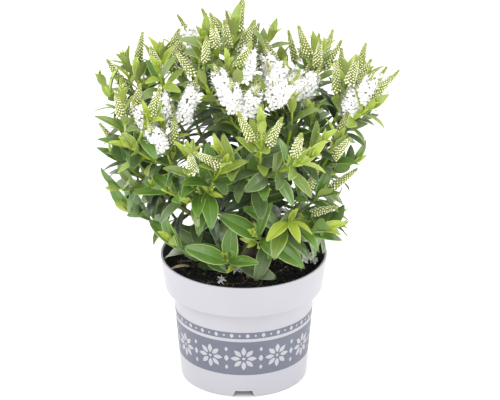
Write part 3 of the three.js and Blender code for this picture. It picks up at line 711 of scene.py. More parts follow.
STAND_IN_FACES = np.array([[0, 1, 3], [0, 3, 2], [2, 3, 4], [0, 2, 1], [1, 2, 4], [1, 4, 3]])
STAND_IN_START = 0.08  # share of a leaf's length that is left free at its root
STAND_IN_KEEL = 0.5


def leaf_stand_in(leaf):
    """The leaf as a few flat faces, for finding what it would cross."""
    across = np.cross(leaf.face, leaf.line) * (leaf.length * leaf.form.width / 2)
    start = leaf.foot + leaf.line * STAND_IN_START * leaf.length
    middle = leaf.foot + leaf.line * LEAF_WIDEST * leaf.length + leaf.face * LEAF_ARCH * leaf.length
    keel = middle - leaf.face * STAND_IN_KEEL
    tip = leaf.foot + leaf.line * leaf.length
    return plain([start, keel, middle + across, middle - across, tip], STAND_IN_FACES)


# ---- limbs

Limb = namedtuple("Limb", "name points radii")


def shoot_foot(item):
    tip = place(item.bearing, item.reach, item.height)
    return tip - leaning(item.bearing, item.lean) * item.length


def bough_points(item, start):
    foot = shoot_foot(item)
    arrival = leaning(item.bearing, item.lean + SHOOT_CURL)
    control = foot - arrival * LIMB_ARRIVAL * np.linalg.norm(foot - start)
    return bend(start, control, foot, LIMB_RINGS)


def main_stem(item):
    start = np.array([*STEM_FOOT, SOIL_LEVEL - STEM_SUNK])
    points = bend(start, np.array(STEM_BEND, float), shoot_foot(item), 2 * LIMB_RINGS)
    height = points[:, 2] - start[2] - STEM_SUNK
    radii = np.linspace(STEM_RADIUS, LIMB_TIP_RADIUS, len(points))
    flare = (STEM_FLARE_RADIUS - STEM_RADIUS) * np.exp(-((height / STEM_FLARE_HEIGHT * FLARE_FALL) ** 2))
    return Limb("main_stem", points, radii + flare)


def grow_limbs():
    """Every limb by name, from the main stem out."""
    lead, *others = SPRAYS
    grown = {"main_stem": main_stem(lead)}
    bare = np.linspace(STEM_RADIUS, LIMB_TIP_RADIUS, 2 * LIMB_RINGS + 1)
    for item in others:
        parent = grown[item.parent]
        start, _ = at_share(parent.points, item.share)
        radii = bare if item.parent == "main_stem" else parent.radii
        thick = np.interp(item.share, np.linspace(0, 1, len(radii)), radii) * BOUGH_THICKNESS
        points = bough_points(item, start)
        grown[item.name] = Limb(item.name, points, np.linspace(thick, LIMB_TIP_RADIUS, len(points)))
    return grown


def steps_of(limb):
    """Lengths from point to point along a limb."""
    return np.linalg.norm(np.diff(limb.points, axis=0), axis=1)


def bark_relief(limb, seed):
    """Lengthwise ridges and the rings of old leaf scars, higher on thicker wood."""
    chance, angles = random.Random(seed), circle(LIMB_SIDES)
    length = np.concatenate([[0], np.cumsum(steps_of(limb))])
    ridges = np.zeros((len(limb.points), LIMB_SIDES))
    for wave in BARK_RIDGES:
        turn = chance.uniform(0, ANY_TURN)
        twist = chance.uniform(-BARK_TWIST, BARK_TWIST)
        swell = 0.6 + 0.4 * np.sin(length / (2.5 + wave) + chance.uniform(0, ANY_TURN))
        ridges += swell[:, None] * np.sin(wave * angles + turn + twist * length[:, None]) / wave
    scars = np.exp(-(((length % NODE_SPACING) - NODE_SPACING / 2) / SCAR_WIDTH) ** 2)
    relief = ridges * BARK_RELIEF * 2 + 0.5 * BARK_RELIEF * scars[:, None]
    return relief * (limb.radii / STEM_RADIUS)[:, None]


# ---- shoots

Shoot = namedtuple("Shoot", "points radii hint length spikes stem")


def shoot_from(start, first, second, length, hint, spikes, stem):
    control = start + first * length / 2
    points = bend(start, control, control + second * length / 2, SHOOT_RINGS - 1)
    return Shoot(points, np.linspace(*SHOOT_RADII, len(points)), hint, length, spikes, stem)


def opening(shoot, direction, turn, angle):
    """Direction that opens from a shoot by an angle, on the side that a turn about it gives."""
    side = square_to(direction, shoot.hint)
    other = np.cross(direction, side)
    turn, angle = radians(turn), radians(angle)
    radial = side * cos(turn) + other * sin(turn)
    return radial * sin(angle) + direction * cos(angle)


def shoots_of(item, draw):
    """The leading shoot of a spray and its side shoots."""
    first = leaning(item.bearing, item.lean + SHOOT_CURL)
    second = leaning(item.bearing, item.lean - SHOOT_CURL)
    level = leaning(item.bearing + 90, 90)
    lead = shoot_from(shoot_foot(item), first, second, item.length, level, item.spikes, 0)
    shoots = [lead]
    spin = draw(0, 360)
    for i in range(item.sides):
        share = mix(*SIDE_SHARES, i / 2) + draw(-SIDE_SWAY[0], SIDE_SWAY[0])
        point, direction = at_share(lead.points, share)
        turn = spin + i * SPIRAL + draw(-SIDE_SWAY[1], SIDE_SWAY[1])
        away = opening(lead, direction, turn, draw(*SIDE_ANGLE))
        rising = unit(away + UP * SIDE_LIFT)
        length = item.length * draw(*SIDE_LENGTH)
        spikes = item.spikes // SIDE_SPIKES
        shoots.append(shoot_from(point, away, rising, length, direction, spikes, i + 1))
    return shoots


Spike = namedtuple("Spike", "open root collar rising length radius")


def spikes_of(item, shoot, draw):
    """Flower spikes round the tip of a shoot. The first ones are open where it is in flower."""
    spikes = []
    spin = draw(0, 360)
    for i in range(shoot.spikes):
        is_open = i < item.open
        point, direction = at_share(shoot.points, SPIKE_SHARE - i * SPIKE_STEP / shoot.length)
        turn = spin + i * 360 / shoot.spikes + draw(-SPIKE_SWAY, SPIKE_SWAY)
        away = opening(shoot, direction, turn, draw(*SPIKE_ANGLE))
        rising = unit(away + direction * draw(*SPIKE_RISING) + UP * SPIKE_LIFT)
        stalk = draw(*SPIKE_STALK)
        length = draw(*(OPEN_LENGTH if is_open else BUD_LENGTH))
        radius = draw(*(OPEN_RADIUS if is_open else BUD_RADIUS))
        spikes.append(Spike(is_open, point, point + away * stalk, rising, length, radius))
    return spikes


def fine_leaf(item):
    """Length of a spray's leaves, true to life."""
    return item.leaf * np.interp(item.height, FINE_HEIGHTS, FINE_LEAF)


def leaves_of(item, shoot, draw):
    """The tuft of young leaves on a shoot's tip, then its pairs of leaves from the top down."""
    leaves = []
    pairs = int(shoot.length * LEAFY_SHARE / FINE_SPACING)
    spin = draw(0, 360)
    for i in range(pairs + len(TUFT_SIZES) - 1, -1, -1):
        tuft = i - pairs
        share = mix(*LEAF_SHARES, (i + 0.5) / pairs) if tuft < 0 else TUFT_SHARES[tuft]
        size = mix(*LEAF_SIZES, share * share) if tuft < 0 else TUFT_SIZES[tuft]
        open_angle = mix(*LEAF_OPEN, share) if tuft < 0 else TUFT_OPEN[tuft]
        droop = mix(*LEAF_DROOP, share)
        for half in (0, 180):
            turn = spin + i * 90 + half + draw(-LEAF_SWAY[0], LEAF_SWAY[0])
            length = fine_leaf(item) * size * draw(*LEAF_LENGTHS)
            angle = open_angle + draw(-LEAF_SWAY[1], LEAF_SWAY[1])
            leaves.append(Seat(share, turn, angle, length, droop, pairs - i))
    return leaves


# ---- own space

def tree_of(shape):
    return BVHTree.FromPolygons(shape.points.tolist(), shape.triangles.tolist(), all_triangles=True)


class Crowd:
    """What has grown already, which a new leaf or spike has to keep clear of."""

    def __init__(self, most=8000):
        self.lows = np.full((most, 3), np.inf)
        self.highs = np.full((most, 3), -np.inf)
        self.trees, self.owners = [], []

    def crosses(self, shape, owner):
        low, high = shape.points.min(axis=0), shape.points.max(axis=0)
        near = np.nonzero((self.lows < high).all(axis=1) & (self.highs > low).all(axis=1))[0]
        near = [self.trees[i] for i in near if self.owners[i] != owner]
        if not near:
            return False
        own = tree_of(shape)
        return any(own.overlap(tree) for tree in near)

    def add(self, shape, owner):
        count = len(self.trees)
        self.lows[count], self.highs[count] = shape.points.min(axis=0), shape.points.max(axis=0)
        self.trees.append(tree_of(shape))
        self.owners.append(owner)


def pot_inside(height):
    if height <= BODY_TOP:
        return mix(BASE_RADIUS, BODY_TOP_RADIUS, height / BODY_TOP) - WALL
    if height <= BAND_FOOT:
        return mix(BODY_TOP_RADIUS, BAND_FOOT_RADIUS, (height - BODY_TOP) / STEP_HEIGHT) - WALL
    return mix(BAND_FOOT_RADIUS - WALL, RIM_RADIUS - RIM_THICKNESS, (height - BAND_FOOT) / BAND_HEIGHT)


def depth_inside(point):
    """How deep in the crown a point lies: 0 on its outline and 1 in its middle."""
    offset = point - CROWN_MIDDLE
    limits = np.array([CROWN_WIDTH, CROWN_DEPTH, CROWN_RISE if offset[2] > 0 else CROWN_FALL])
    return 1 - np.linalg.norm(offset / limits)


def in_space(point):
    """True where a point lies inside the crown's outline and clear of the pot and the soil."""
    x, y, z = point
    flank = FLANK_REACH + FLANK_FLARE * max(z - FLANK_FOOT, 0) ** 2
    if depth_inside(point) < 0 or x > flank:
        return False
    reach = hypot(x, y)
    if z > POT_HEIGHT + POT_MARGIN:
        return z > POT_HEIGHT + POT_MARGIN + (reach - RIM_RADIUS) * SKIRT_RISE
    return reach < pot_inside(z) - POT_MARGIN and z > SOIL_LEVEL + SOIL_MARGIN


def hides_stem(point):
    """True inside the gap in the front leaves, which runs out and up from the stem's foot."""
    x, y, z = point
    level = z - (STEM_FOOT[1] - y) * STEM_GAP_RISE
    in_front = y < STEM_FOOT[1] and abs(x - STEM_FOOT[0]) < STEM_GAP
    return in_front and STEM_GAP_HEIGHTS[0] < level < STEM_GAP_HEIGHTS[1]


def has_room(stand_in, crowd, owner):
    """True where a leaf stays inside the crown, leaves the stem's foot in sight and crosses nothing."""
    if any(hides_stem(point) or not in_space(point) for point in stand_in.points[1:]):
        return False
    return not crowd.crosses(stand_in, owner)


# ---- flower spikes

PETAL, FILAMENT, ANTHER = range(3)
CUP, PALE_CAP, GREEN_CAP, CORE, WHITE_CAP = range(5)
BUD_SIDES = 6
BUD_PROFILE = [(0.0, 0.35), (1.0, 1.0), (1.4, 0.7)]  # heights and radii, with the cap's foot last
BUD_TIP = 1.95
# Along a flower's lobe: reach, half the width and height.
LOBE_ROWS = [(0.7, 0.55, 4.0), (1.9, 1.4, 4.9), (3.1, 1.4, 5.2), (4.0, 0.6, 5.0)]
LOBE_CUP = 0.35  # depth of a lobe's middle line


def bud_template():
    """A bud a unit wide: a deep green cup and the pale cap that it holds."""
    points = [(r * cos(a), r * sin(a), z) for z, r in BUD_PROFILE for a in circle(BUD_SIDES)]
    skin = grid_triangles(len(BUD_PROFILE), BUD_SIDES, closed=True)
    tip = len(points)
    last = tip - BUD_SIDES
    cap = [(last + k, last + (k + 1) % BUD_SIDES, tip) for k in range(BUD_SIDES)]
    slots = np.repeat([CUP, PALE_CAP], [len(skin), len(cap)])
    return Shape(np.array([*points, (0.0, 0.0, BUD_TIP)]), np.concatenate([skin, cap]), slots)


def flower_template():
    """An open flower: a short tube, four cupped lobes and two long stamens."""
    parts = [tube([(0, 0, 0), (0, 0, 2.4), (0, 0, 4.2)], [0.35, 0.6, 1.0], 6, PETAL)]
    for quarter in range(4):
        outward = place(90 * quarter, 1, 0)
        across = np.array([-outward[1], outward[0], 0])
        rows = []
        for reach, half, height in LOBE_ROWS:
            centre = outward * reach + UP * height
            rows += [centre - across * half, centre - UP * LOBE_CUP, centre + across * half]
        parts.append(plain(rows, grid_triangles(len(LOBE_ROWS), 3), PETAL))
    for side in (-1, 1):
        path = [(0.3 * side, 0, 4.0), (1.0 * side, 0.5, 6.6), (2.0 * side, 0.8, 8.6)]
        parts.append(tube(path, [0.17, 0.14, 0.12], 3, FILAMENT))
        end = np.array(path[-1])
        parts.append(tube([end - (0.1, 0, 0.3), end, end + (0.1, 0, 0.45)], [0.2, 0.34, 0.1], 4, ANTHER))
    return joined(*parts)


BUD = bud_template()
FLOWER = flower_template()


def core_radius(spike, share):
    """Radius of the green spindle that the buds of a spike sit on."""
    full = (OPEN_CORE if spike.open else 1.0) * spike.radius
    return np.interp(share, CORE_SHARES, CORE_WIDTHS) * full


def around(spike, pitch_at, start, end, chance):
    """Places in a spiral up a spike: share of its length and angle for each bud or flower."""
    shares, share = [], start
    while share < end:
        shares.append(share)
        pitch = pitch_at(share)
        ring = 2 * pi * (core_radius(spike, share) + pitch / 2)
        share += BUD_CLOSENESS * pitch**2 / ring / spike.length
    sway = chances(chance, -BUD_SWAY, BUD_SWAY, len(shares))
    return np.array(shares), np.radians(SPIRAL) * np.arange(len(shares)) + sway


def radial_frames(spike, shares, angles, slant):
    """Origins on a spike's core and directions that lean out from its axis."""
    side = square_to(spike.rising, UP if abs(spike.rising[2]) < STEEP_SPIKE else np.array([1.0, 0, 0]))
    other = np.cross(spike.rising, side)
    radial = np.outer(np.cos(angles), side) + np.outer(np.sin(angles), other)
    slant = np.radians(slant)
    directions = radial * np.sin(slant)[:, None] + spike.rising * np.cos(slant)[:, None]
    centres = spike.collar + np.outer(shares * spike.length, spike.rising)
    return centres + radial * (core_radius(spike, shares) * BUD_SEAT)[:, None], directions


def add_spike(spike, crown, chance):
    """A spike's stalk and core, its buds and, where it is open, its flowers."""
    if not spike.open:
        spike = spike._replace(radius=spike.radius * chance.uniform(*SPIKE_FULLNESS))
    stalk = bend(spike.root, mix(spike.root, spike.collar, STALK_BEND), spike.collar, 4)
    crown.twigs.add(tube(stalk, [STALK_RADIUS * STALK_FOOT] + [STALK_RADIUS] * 4, 6))
    shares = np.linspace(0, CORE_END, 9)
    centres = spike.collar + np.outer(shares * spike.length, spike.rising)
    crown.buds.add(tube(centres, core_radius(spike, shares), 7, CORE))
    first = FLOWER_SHARE + chance.uniform(-FLOWER_SWAY, FLOWER_SWAY) if spike.open else BUD_SHARES[0]
    crown.buds.add(buds_on(spike, first, chance))
    if spike.open:
        crown.flowers.add(flowers_on(spike, first, chance))


def buds_on(spike, first, chance):
    """The buds of a spike from a share of its length to its tip."""

    def pitch(share):
        return mix(*BUD_PITCH, share)

    shares, angles = around(spike, pitch, first, BUD_SHARES[1], chance)
    origins, directions = radial_frames(spike, shares, angles, mix(*BUD_SLANT, shares))
    sizes = pitch(shares) * BUD_FILL / 2 * chances(chance, *BUD_SIZES, len(shares))
    caps = np.where(shares > chance.uniform(*GREEN_TIP), GREEN_CAP, PALE_CAP)
    if not spike.open and chance.random() < SWELLING_CHANCE:
        swollen = (1 - shares / SWELLING[0]).clip(0)
        sizes = sizes * (1 + SWELLING[1] * swollen)
        caps = np.where(swollen > WHITE_FROM, WHITE_CAP, caps)
    slots = np.where(BUD.slots[None] == PALE_CAP, caps[:, None], CUP)
    frames = frames_along(directions, chances(chance, 0, ANY_TURN, len(shares)))
    return copies(BUD, origins, frames, sizes, slots)


def flowers_on(spike, end, chance):
    """The flowers of a spike, from its foot up to a share of its length."""
    shares, angles = around(spike, lambda share: FLOWER_PITCH, FLOWERS_FROM, end, chance)
    count = len(shares)
    origins, directions = radial_frames(spike, shares, angles, chances(chance, *FLOWER_SLANT, count))
    full = spike.radius / FLOWER_REACH
    sizes = chances(chance, *FLOWER_SIZES, count) * full * mix(1.0, FLOWER_TAPER, shares / end)
    frames = frames_along(directions, chances(chance, 0, ANY_TURN, count))
    return copies(FLOWER, origins, frames, sizes)


def spike_stand_in(spike):
    """The spike as a plain spindle on its stalk, for finding what it would cross."""
    head = [spike.collar + spike.rising * share * spike.length for share in (0, 0.12, 0.6, 1)]
    width = SPIKE_SPACE[spike.open] * spike.radius
    return tube([spike.root, *head], [STALK_RADIUS, STALK_RADIUS, width, 0.7 * width, 0.3], 6)


# ---- the crown

# What grows: batches of leaves, twigs, buds and flowers, and the crowd that keeps them apart.
Crown = namedtuple("Crown", "leaves twigs buds flowers crowd")
# One shoot with what the rule gives it, its own chance, and whose it is in the crowd.
Growth = namedtuple("Growth", "item shoot spikes leaves chance owner")


def tone_for(item, rank, foot, chance):
    """A leaf's tone: young at the tip, darker down the shoot and low in the crown, and darker still deep
    in the crown, which is painted shade.
    """
    low = item.height < LOW_SPRAY
    if low and rank > 0 and chance.random() < YELLOWING:
        return "yellowing"
    inner = foot[2] < INNER_TOP and depth_inside(foot) > INNER_DEPTH
    # painted shade: darker tones deep inside the crown
    if inner and not low and rank > 0:
        return chance.choices(LEAF_AGES_AND_SHADE, INNER_TONES)[0]
    tones = LOW_TONES if low or foot[2] < LOW_LEAF else HIGH_TONES
    return chance.choices(LEAF_AGES_AND_SHADE, tones[min(rank + 1, len(tones) - 1)])[0]


def kept_spikes(growth):
    """The spikes that a shoot shows: a leafy spray has few, and one juts out on the right."""
    spray, shoot = growth.item.name, growth.shoot
    name, share, direction, stalk, length = JUTTING_SPIKE
    if spray == name and shoot.stem == 0:
        root, _ = at_share(shoot.points, share)
        rising = unit(np.array(direction))
        jutting = Spike(False, root, root + rising * stalk, rising, length, BUD_RADIUS[0])
        return [jutting, *growth.spikes[1:]]
    if spray not in LEAFY_SPRAYS:
        return growth.spikes
    return [] if shoot.stem else growth.spikes[:LEAFY_SPRAYS[spray]]


def new_crown(limbs):
    """Empty batches, and a crowd that holds the limbs."""
    crowd = Crowd()
    for limb in limbs.values():
        crowd.add(tube(limb.points[::LIMB_STEP], limb.radii[::LIMB_STEP], 5), limb.name)
    return Crown(
        Batch("leaves", LEAF_FINISHES, "foliage"),
        Batch("twigs", TWIG_FINISHES, "foliage"),
        Batch("buds", BUD_FINISHES, "foliage"),
        Batch("blossom", FLOWER_FINISHES, "flowering"),
        crowd,
    )


def side_shoot_fits(item, shoot, skin, crowd):
    """False for a side shoot that its spray does without, or that has no room."""
    if item.name in LONE_SHOOTS or not all(in_space(point) for point in shoot.points[1::3]):
        return False
    return not crowd.crosses(skin, (item.name, 0))


def grow_shoots(index, item, crown):
    """The shoots of one mass, with the spikes and the leaves that the rule gives each."""
    draw, chance = seeded_draw(index + 1), random.Random(index + 101)
    shoots = shoots_of(item, draw)
    spikes = [spikes_of(item, shoot, draw) for shoot in shoots]
    leaves = [leaves_of(item, shoot, draw) for shoot in shoots]
    grown = []
    for shoot, its_spikes, its_leaves in zip(shoots, spikes, leaves):
        skin = tube(shoot.points, shoot.radii, SHOOT_SIDES)
        if shoot.stem and not side_shoot_fits(item, shoot, skin, crown.crowd):
            continue
        owner = (item.name, shoot.stem)
        crown.crowd.add(skin, owner)
        crown.twigs.add(sunk(shoot, item))
        grown.append(Growth(item, shoot, its_spikes, its_leaves, chance, owner))
    return grown


def grow_spikes(growth, crown):
    for spike in kept_spikes(growth):
        stand_in = spike_stand_in(spike)
        tip = spike.collar + spike.rising * spike.length
        if in_space(tip) and not crown.crowd.crosses(stand_in, growth.owner):
            crown.crowd.add(stand_in, growth.owner)
            add_spike(spike, crown, growth.chance)


def grow_crown(limbs):
    """The whole crown as batches: leaves, twigs, buds and flowers."""
    crown = new_crown(limbs)
    grown = [growth for index, item in enumerate(SPRAYS) for growth in grow_shoots(index, item, crown)]
    for growth in grown:
        grow_spikes(growth, crown)
    for turn in range(max(len(growth.leaves) for growth in grown)):
        for growth in grown:
            if turn < len(growth.leaves):
                grow_leaf(growth, growth.leaves[turn], crown)
    for growth in grown:
        add_tip(growth, crown)
    for item in SPRAYS[1:]:
        add_bough_leaves(item, limbs[item.name], crown)
    return crown[:4]


def sunk(shoot, item):
    """A shoot's own skin, run back a little into what carries it, and darker where it is older."""
    first = unit(shoot.points[1] - shoot.points[0])
    points = np.concatenate([[shoot.points[0] - first * SHOOT_SUNK], shoot.points])
    swell = 1 + NODE_SWELL * np.cos(np.linspace(0, 1, len(points)) * shoot.length / NODE_SPACING * 2 * pi)
    skin = tube(points, np.concatenate([shoot.radii[:1], shoot.radii]) * swell, SHOOT_SIDES)
    share = np.arange(len(skin.triangles)) / len(skin.triangles)
    olive = LOW_OLIVE_SHARE if item.height < LOW_SPRAY else OLIVE_SHARE
    return skin._replace(slots=(share < olive).astype(int))


def settle_leaf(shoot, owner, seat, tone, form, crown):
    """Add a leaf, turned or made smaller until it keeps clear, or none where it can't."""
    for swing, size, hang in GIVE_WAY:
        moved = seat._replace(turn=seat.turn + swing, length=seat.length * size, droop=seat.droop * hang)
        leaf = leaf_at(shoot, moved, tone, form)
        stand_in = leaf_stand_in(leaf)
        if has_room(stand_in, crown.crowd, owner):
            crown.crowd.add(stand_in, "leaf")
            crown.leaves.add(leaf_shape(leaf))
            return


def grow_leaf(growth, seat, crown):
    """One leaf of a shoot, and sometimes a young twig in its axil."""
    item, shoot, chance = growth.item, growth.shoot, growth.chance
    if item.height < LOW_SPRAY:
        further = FRONT_DROOP if item.name in HANGING else LOW_DROOP
        seat = seat._replace(droop=seat.droop + further)
        if seat.rank >= SHED_FROM and chance.random() < THIN_SPRAYS.get(item.name, SHED):
            return
    tone = tone_for(item, seat.rank, at_share(shoot.points, seat.share)[0], chance)
    form = leaf_form(chance, tone)
    has_twig = seat.rank >= AXIL_FROM and chance.random() < AXIL_CHANCE
    settle_leaf(shoot, growth.owner, seat, tone, form, crown)
    if has_twig:
        add_axil_twig(shoot, seat, chance, crown)


def paired_leaves(shoot, pairs, spin, chance):
    """Young leaves in pairs, each pair a quarter turn from the last. pairs: share, length, angle."""
    made = []
    for number, (share, length, angle) in enumerate(pairs):
        for half in (0, 180):
            seat = Seat(share, spin + 90 * number + half, angle, length)
            made.append(leaf_at(shoot, seat, "young", leaf_form(chance, "young")))
    return made


def add_axil_twig(shoot, seat, chance, crown):
    """A young twig with two pairs of small leaves, between a leaf and its shoot."""
    point, direction = at_share(shoot.points, seat.share)
    away = opening(shoot, direction, seat.turn, chance.uniform(*AXIL_ANGLE))
    length = chance.uniform(*AXIL_LENGTH)
    twig = shoot_from(point, away, unit(away + UP * AXIL_LIFT), length, direction, 0, 0)
    size = chance.uniform(*AXIL_LEAF)
    pairs = [(share, size * scale, angle) for share, scale, angle in AXIL_PAIRS]
    made = paired_leaves(twig, pairs, chance.uniform(0, 180), chance)
    stand_ins = [leaf_stand_in(leaf) for leaf in made]
    if any(crown.crowd.crosses(one, None) or not in_space(one.points[-1]) for one in stand_ins[:2]):
        return
    crown.twigs.add(tube(twig.points, np.linspace(*AXIL_RADII, len(twig.points)), 5))
    for leaf, stand_in in zip(made, stand_ins):
        crown.crowd.add(stand_in, "leaf")
        crown.leaves.add(leaf_shape(leaf))


def add_tip(growth, crown):
    """The smallest leaves, still folded over the tip of a shoot."""
    spin = growth.chance.uniform(0, 180)
    pairs = [(1.0, growth.item.leaf * size, angle) for size, angle in zip(BUD_TUFT_SIZES, BUD_TUFT_OPEN)]
    for leaf in paired_leaves(growth.shoot, pairs, spin, growth.chance):
        crown.leaves.add(leaf_shape(leaf))


def add_bough_leaves(item, limb, crown):
    """Old leaves, in pairs, along the end of a bough, a share of them darker with the shaded tone as
    painted shade.
    """
    chance = random.Random(f"bough {item.name}")
    length = steps_of(limb).sum()
    bough = Shoot(limb.points, limb.radii, leaning(item.bearing + 90, 90), length, 0, 0)
    pairs = int(length * BOUGH_LEAFY / FINE_SPACING)
    spin = chance.uniform(0, 180)
    for i in range(pairs):
        share = 1 - BOUGH_LEAFY * (i + 0.6) / pairs
        for half in (0, 180):
            angle = chance.uniform(*BOUGH_OPEN)
            turn = spin + 90 * i + half + chance.uniform(-BOUGH_SWAY, BOUGH_SWAY)
            size = fine_leaf(item) * chance.uniform(*BOUGH_LEAF)
            # painted shade: the shaded tone darkens bough leaves inside the crown
            tone = "shaded" if chance.random() < BOUGH_SHADED else "old"
            seat = Seat(share, turn, angle, size, BOUGH_DROOP)
            settle_leaf(bough, limb.name, seat, tone, leaf_form(chance, tone), crown)


# ---- pot

def fillet(profile, radius, steps=4):
    """The profile with each corner between its ends rounded off."""
    points = [np.array(point, float) for point in profile]
    rounded = [points[0]]
    for before, corner, after in zip(points, points[1:], points[2:]):
        shorter = min(np.linalg.norm(before - corner), np.linalg.norm(after - corner))
        cut = min(radius, shorter * FILLET_SHARE)
        start, end = corner + unit(before - corner) * cut, corner + unit(after - corner) * cut
        rounded += list(bend(start, corner, end, steps))
    return np.array(rounded + points[-1:])


def lathe(profile, sides):
    """Closed turned skin. The profile starts and ends on the axis."""
    angles, inner = circle(sides), profile[1:-1]
    ring = np.stack([np.cos(angles), np.sin(angles), np.zeros(sides)], axis=-1)
    rings = [r * ring + UP * z for r, z in inner]
    ends = [UP * profile[0][1], UP * profile[-1][1]]
    return plain(np.concatenate([*rings, ends]), capped_triangles(len(inner), sides))


OUTSIDE, INSIDE = range(2)
LIP_HEIGHT = 0.9  # of the white lip over the black inside
INSIDE_MARGIN = 0.35  # how far from the inner wall a face's middle may lie
POT_SHARP = 40  # degrees between faces from which an edge looks sharp


def pot_shape():
    profile = fillet([
        (0, 0), (FOOT_RADIUS, 0), (FOOT_RADIUS, FLOOR_LIFT), (BASE_RADIUS - WALL, FLOOR_LIFT),
        (BASE_RADIUS - WALL, 0), (BASE_RADIUS, 0), (BODY_TOP_RADIUS, BODY_TOP),
        (BAND_FOOT_RADIUS, BAND_FOOT), (RIM_RADIUS, POT_HEIGHT), (RIM_RADIUS - RIM_THICKNESS, POT_HEIGHT),
        (BAND_FOOT_RADIUS - WALL, BAND_FOOT + WALL), (BODY_TOP_RADIUS - WALL, BODY_TOP + WALL),
        (pot_inside(FLOOR_LIFT + WALL), FLOOR_LIFT + WALL), (0, FLOOR_LIFT + WALL),
    ], POT_FILLET)
    return lathe(profile, POT_SIDES)


def cutter(name, outline, low, high):
    """Upright prism that cuts a hole or a notch."""
    count = len(outline)
    points = [(x, y, z) for z in (low, high) for x, y in outline]
    sides = [(k, (k + 1) % count, count + (k + 1) % count, count + k) for k in range(count)]
    faces = [tuple(range(count))[::-1], tuple(range(count, 2 * count)), *sides]
    mesh = bpy.data.meshes.new(name)
    mesh.from_pydata(np.array(points) * MM, [], faces)
    return add_object(name, mesh)


def drain_cutter(index):
    centre = place(index * 360 / DRAIN_HOLES, DRAIN_REACH, 0)
    corners = [centre + place(k * 360 / DRAIN_SIDES, 1, 0) * DRAIN_RADIUS for k in range(DRAIN_SIDES)]
    outline = [corner[:2] for corner in corners]
    return cutter(f"drain_cutter_{index}", outline, FLOOR_LIFT - WALL, FLOOR_LIFT + 2 * WALL)


def notch_cutter(index):
    """Slant-sided gap through the standing ring: a prism that lies along the radius."""
    half_foot, half_top = NOTCH_BOTTOM / 2, NOTCH_TOP / 2
    outline = [(-half_foot, -1), (half_foot, -1), (half_top, NOTCH_HEIGHT), (-half_top, NOTCH_HEIGHT)]
    made = cutter(f"notch_cutter_{index}", outline, BASE_RADIUS - NOTCH_REACH, BASE_RADIUS + NOTCH_REACH)
    made.rotation_euler = (pi / 2, 0, index * 2 * pi / NOTCHES)
    return made


def cut_out(made, tools):
    """Cut the tools' bodies out of a piece, and remove the tools."""
    for tool in tools:
        cut = made.modifiers.new("cut", "BOOLEAN")
        cut.operation = "DIFFERENCE"
        cut.object = tool
        cut.solver = "EXACT"
    bpy.context.view_layer.update()
    cut_mesh = bpy.data.meshes.new_from_object(made.evaluated_get(bpy.context.evaluated_depsgraph_get()))
    made.modifiers.clear()
    made.data = cut_mesh
    for tool in tools:
        bpy.data.objects.remove(tool)


def is_black(middle):
    """True for a face of the pot's black inside, under the white lip and over the pot's floor."""
    reach, height = hypot(middle.x, middle.y) / MM, middle.z / MM
    between_ends = FLOOR_LIFT + 0.5 * WALL < height and middle.z < (POT_HEIGHT - LIP_HEIGHT) * MM
    return between_ends and reach < pot_inside(max(height, 0)) + INSIDE_MARGIN


def add_pot():
    made = make_piece("pot_shell", pot_shape(), ["pot_white", "pot_black"], ["pot"])
    cut_out(made, [*map(drain_cutter, range(DRAIN_HOLES)), *map(notch_cutter, range(NOTCHES))])
    for face in made.data.polygons:
        face.material_index = INSIDE if is_black(face.center) else OUTSIDE
        face.use_smooth = True
    made.data.set_sharp_from_angle(angle=radians(POT_SHARP))


# ---- print on the pot

PRINT_FOOT = 18.5
PRINT_TOP = 46
BORDER_FOOT = 48.6
BORDER_TOP = 53.8
PRINT_RADIUS = 48  # of the body at the band
PRINT_LIFT = 0.08
MOTIF_LIFT = 0.16
ROSETTES = 12
ROSETTE_PETALS = 8
ROSETTE_RADIUS = 9.6
ROSETTE_EYE = 0.26  # size of its middle diamond, of its radius
PETAL_START = 0.24  # share of its radius at which its petals start
PETAL_WIDTH = 0.36
DIAMONDS = [(0, 5.2), (7.4, 3.8), (-7.4, 3.8)]  # between two rosettes: height from the middle, and size
DIAMOND_WIDTH = 0.62
BORDER_DIAMONDS = 54
BORDER_SIZES = (0.4, 0.72)  # of the border's height
BORDER_WIDTH = 0.75


def on_wall(angle, height, lift):
    """Point on the pot's body at an angle in degrees and a height."""
    return place(angle, mix(BASE_RADIUS, BODY_TOP_RADIUS, height / BODY_TOP) + lift, height)


def strip(low, high, lift, sides=180):
    """Thin printed band round the pot's body."""
    angles = np.arange(sides) * 360 / sides
    rows = [[on_wall(angle, height, lift) for angle in angles] for height in (low, high)]
    return plain(np.array(rows).reshape(-1, 3), grid_triangles(2, sides, closed=True))


def off_upright(angle):
    return np.array([sin(radians(angle)), cos(radians(angle))])


def printed_blade(x, z, length, width, angle=0):
    """Pointed printed shape that starts at a place and grows at an angle from the upright."""
    along = off_upright(angle)
    side = np.array([-along[1], along[0]])
    points = []
    shares = np.linspace(0, 1, 7)
    for share in shares:
        middle = np.array([x, z]) + along * length * share
        half = side * width / 2 * sin(pi * share)
        for across, height in (middle + half, middle, middle - half):
            points.append(on_wall(degrees(across / PRINT_RADIUS), height, MOTIF_LIFT))
    return plain(points, grid_triangles(len(shares), 3))


def upright_diamond(x, middle, size, slimness):
    return printed_blade(x, middle - size / 2, size, slimness * size)


def printed_rosette(x, z, radius):
    """Ring of pointed petals round a small diamond."""
    shapes = [upright_diamond(x, z, ROSETTE_EYE * radius, 1)]
    for petal in range(ROSETTE_PETALS):
        angle = petal * 360 / ROSETTE_PETALS
        foot_x, foot_z = (x, z) + off_upright(angle) * PETAL_START * radius
        length, width = (1 - PETAL_START) * radius, PETAL_WIDTH * radius
        shapes.append(printed_blade(foot_x, foot_z, length, width, angle))
    return shapes


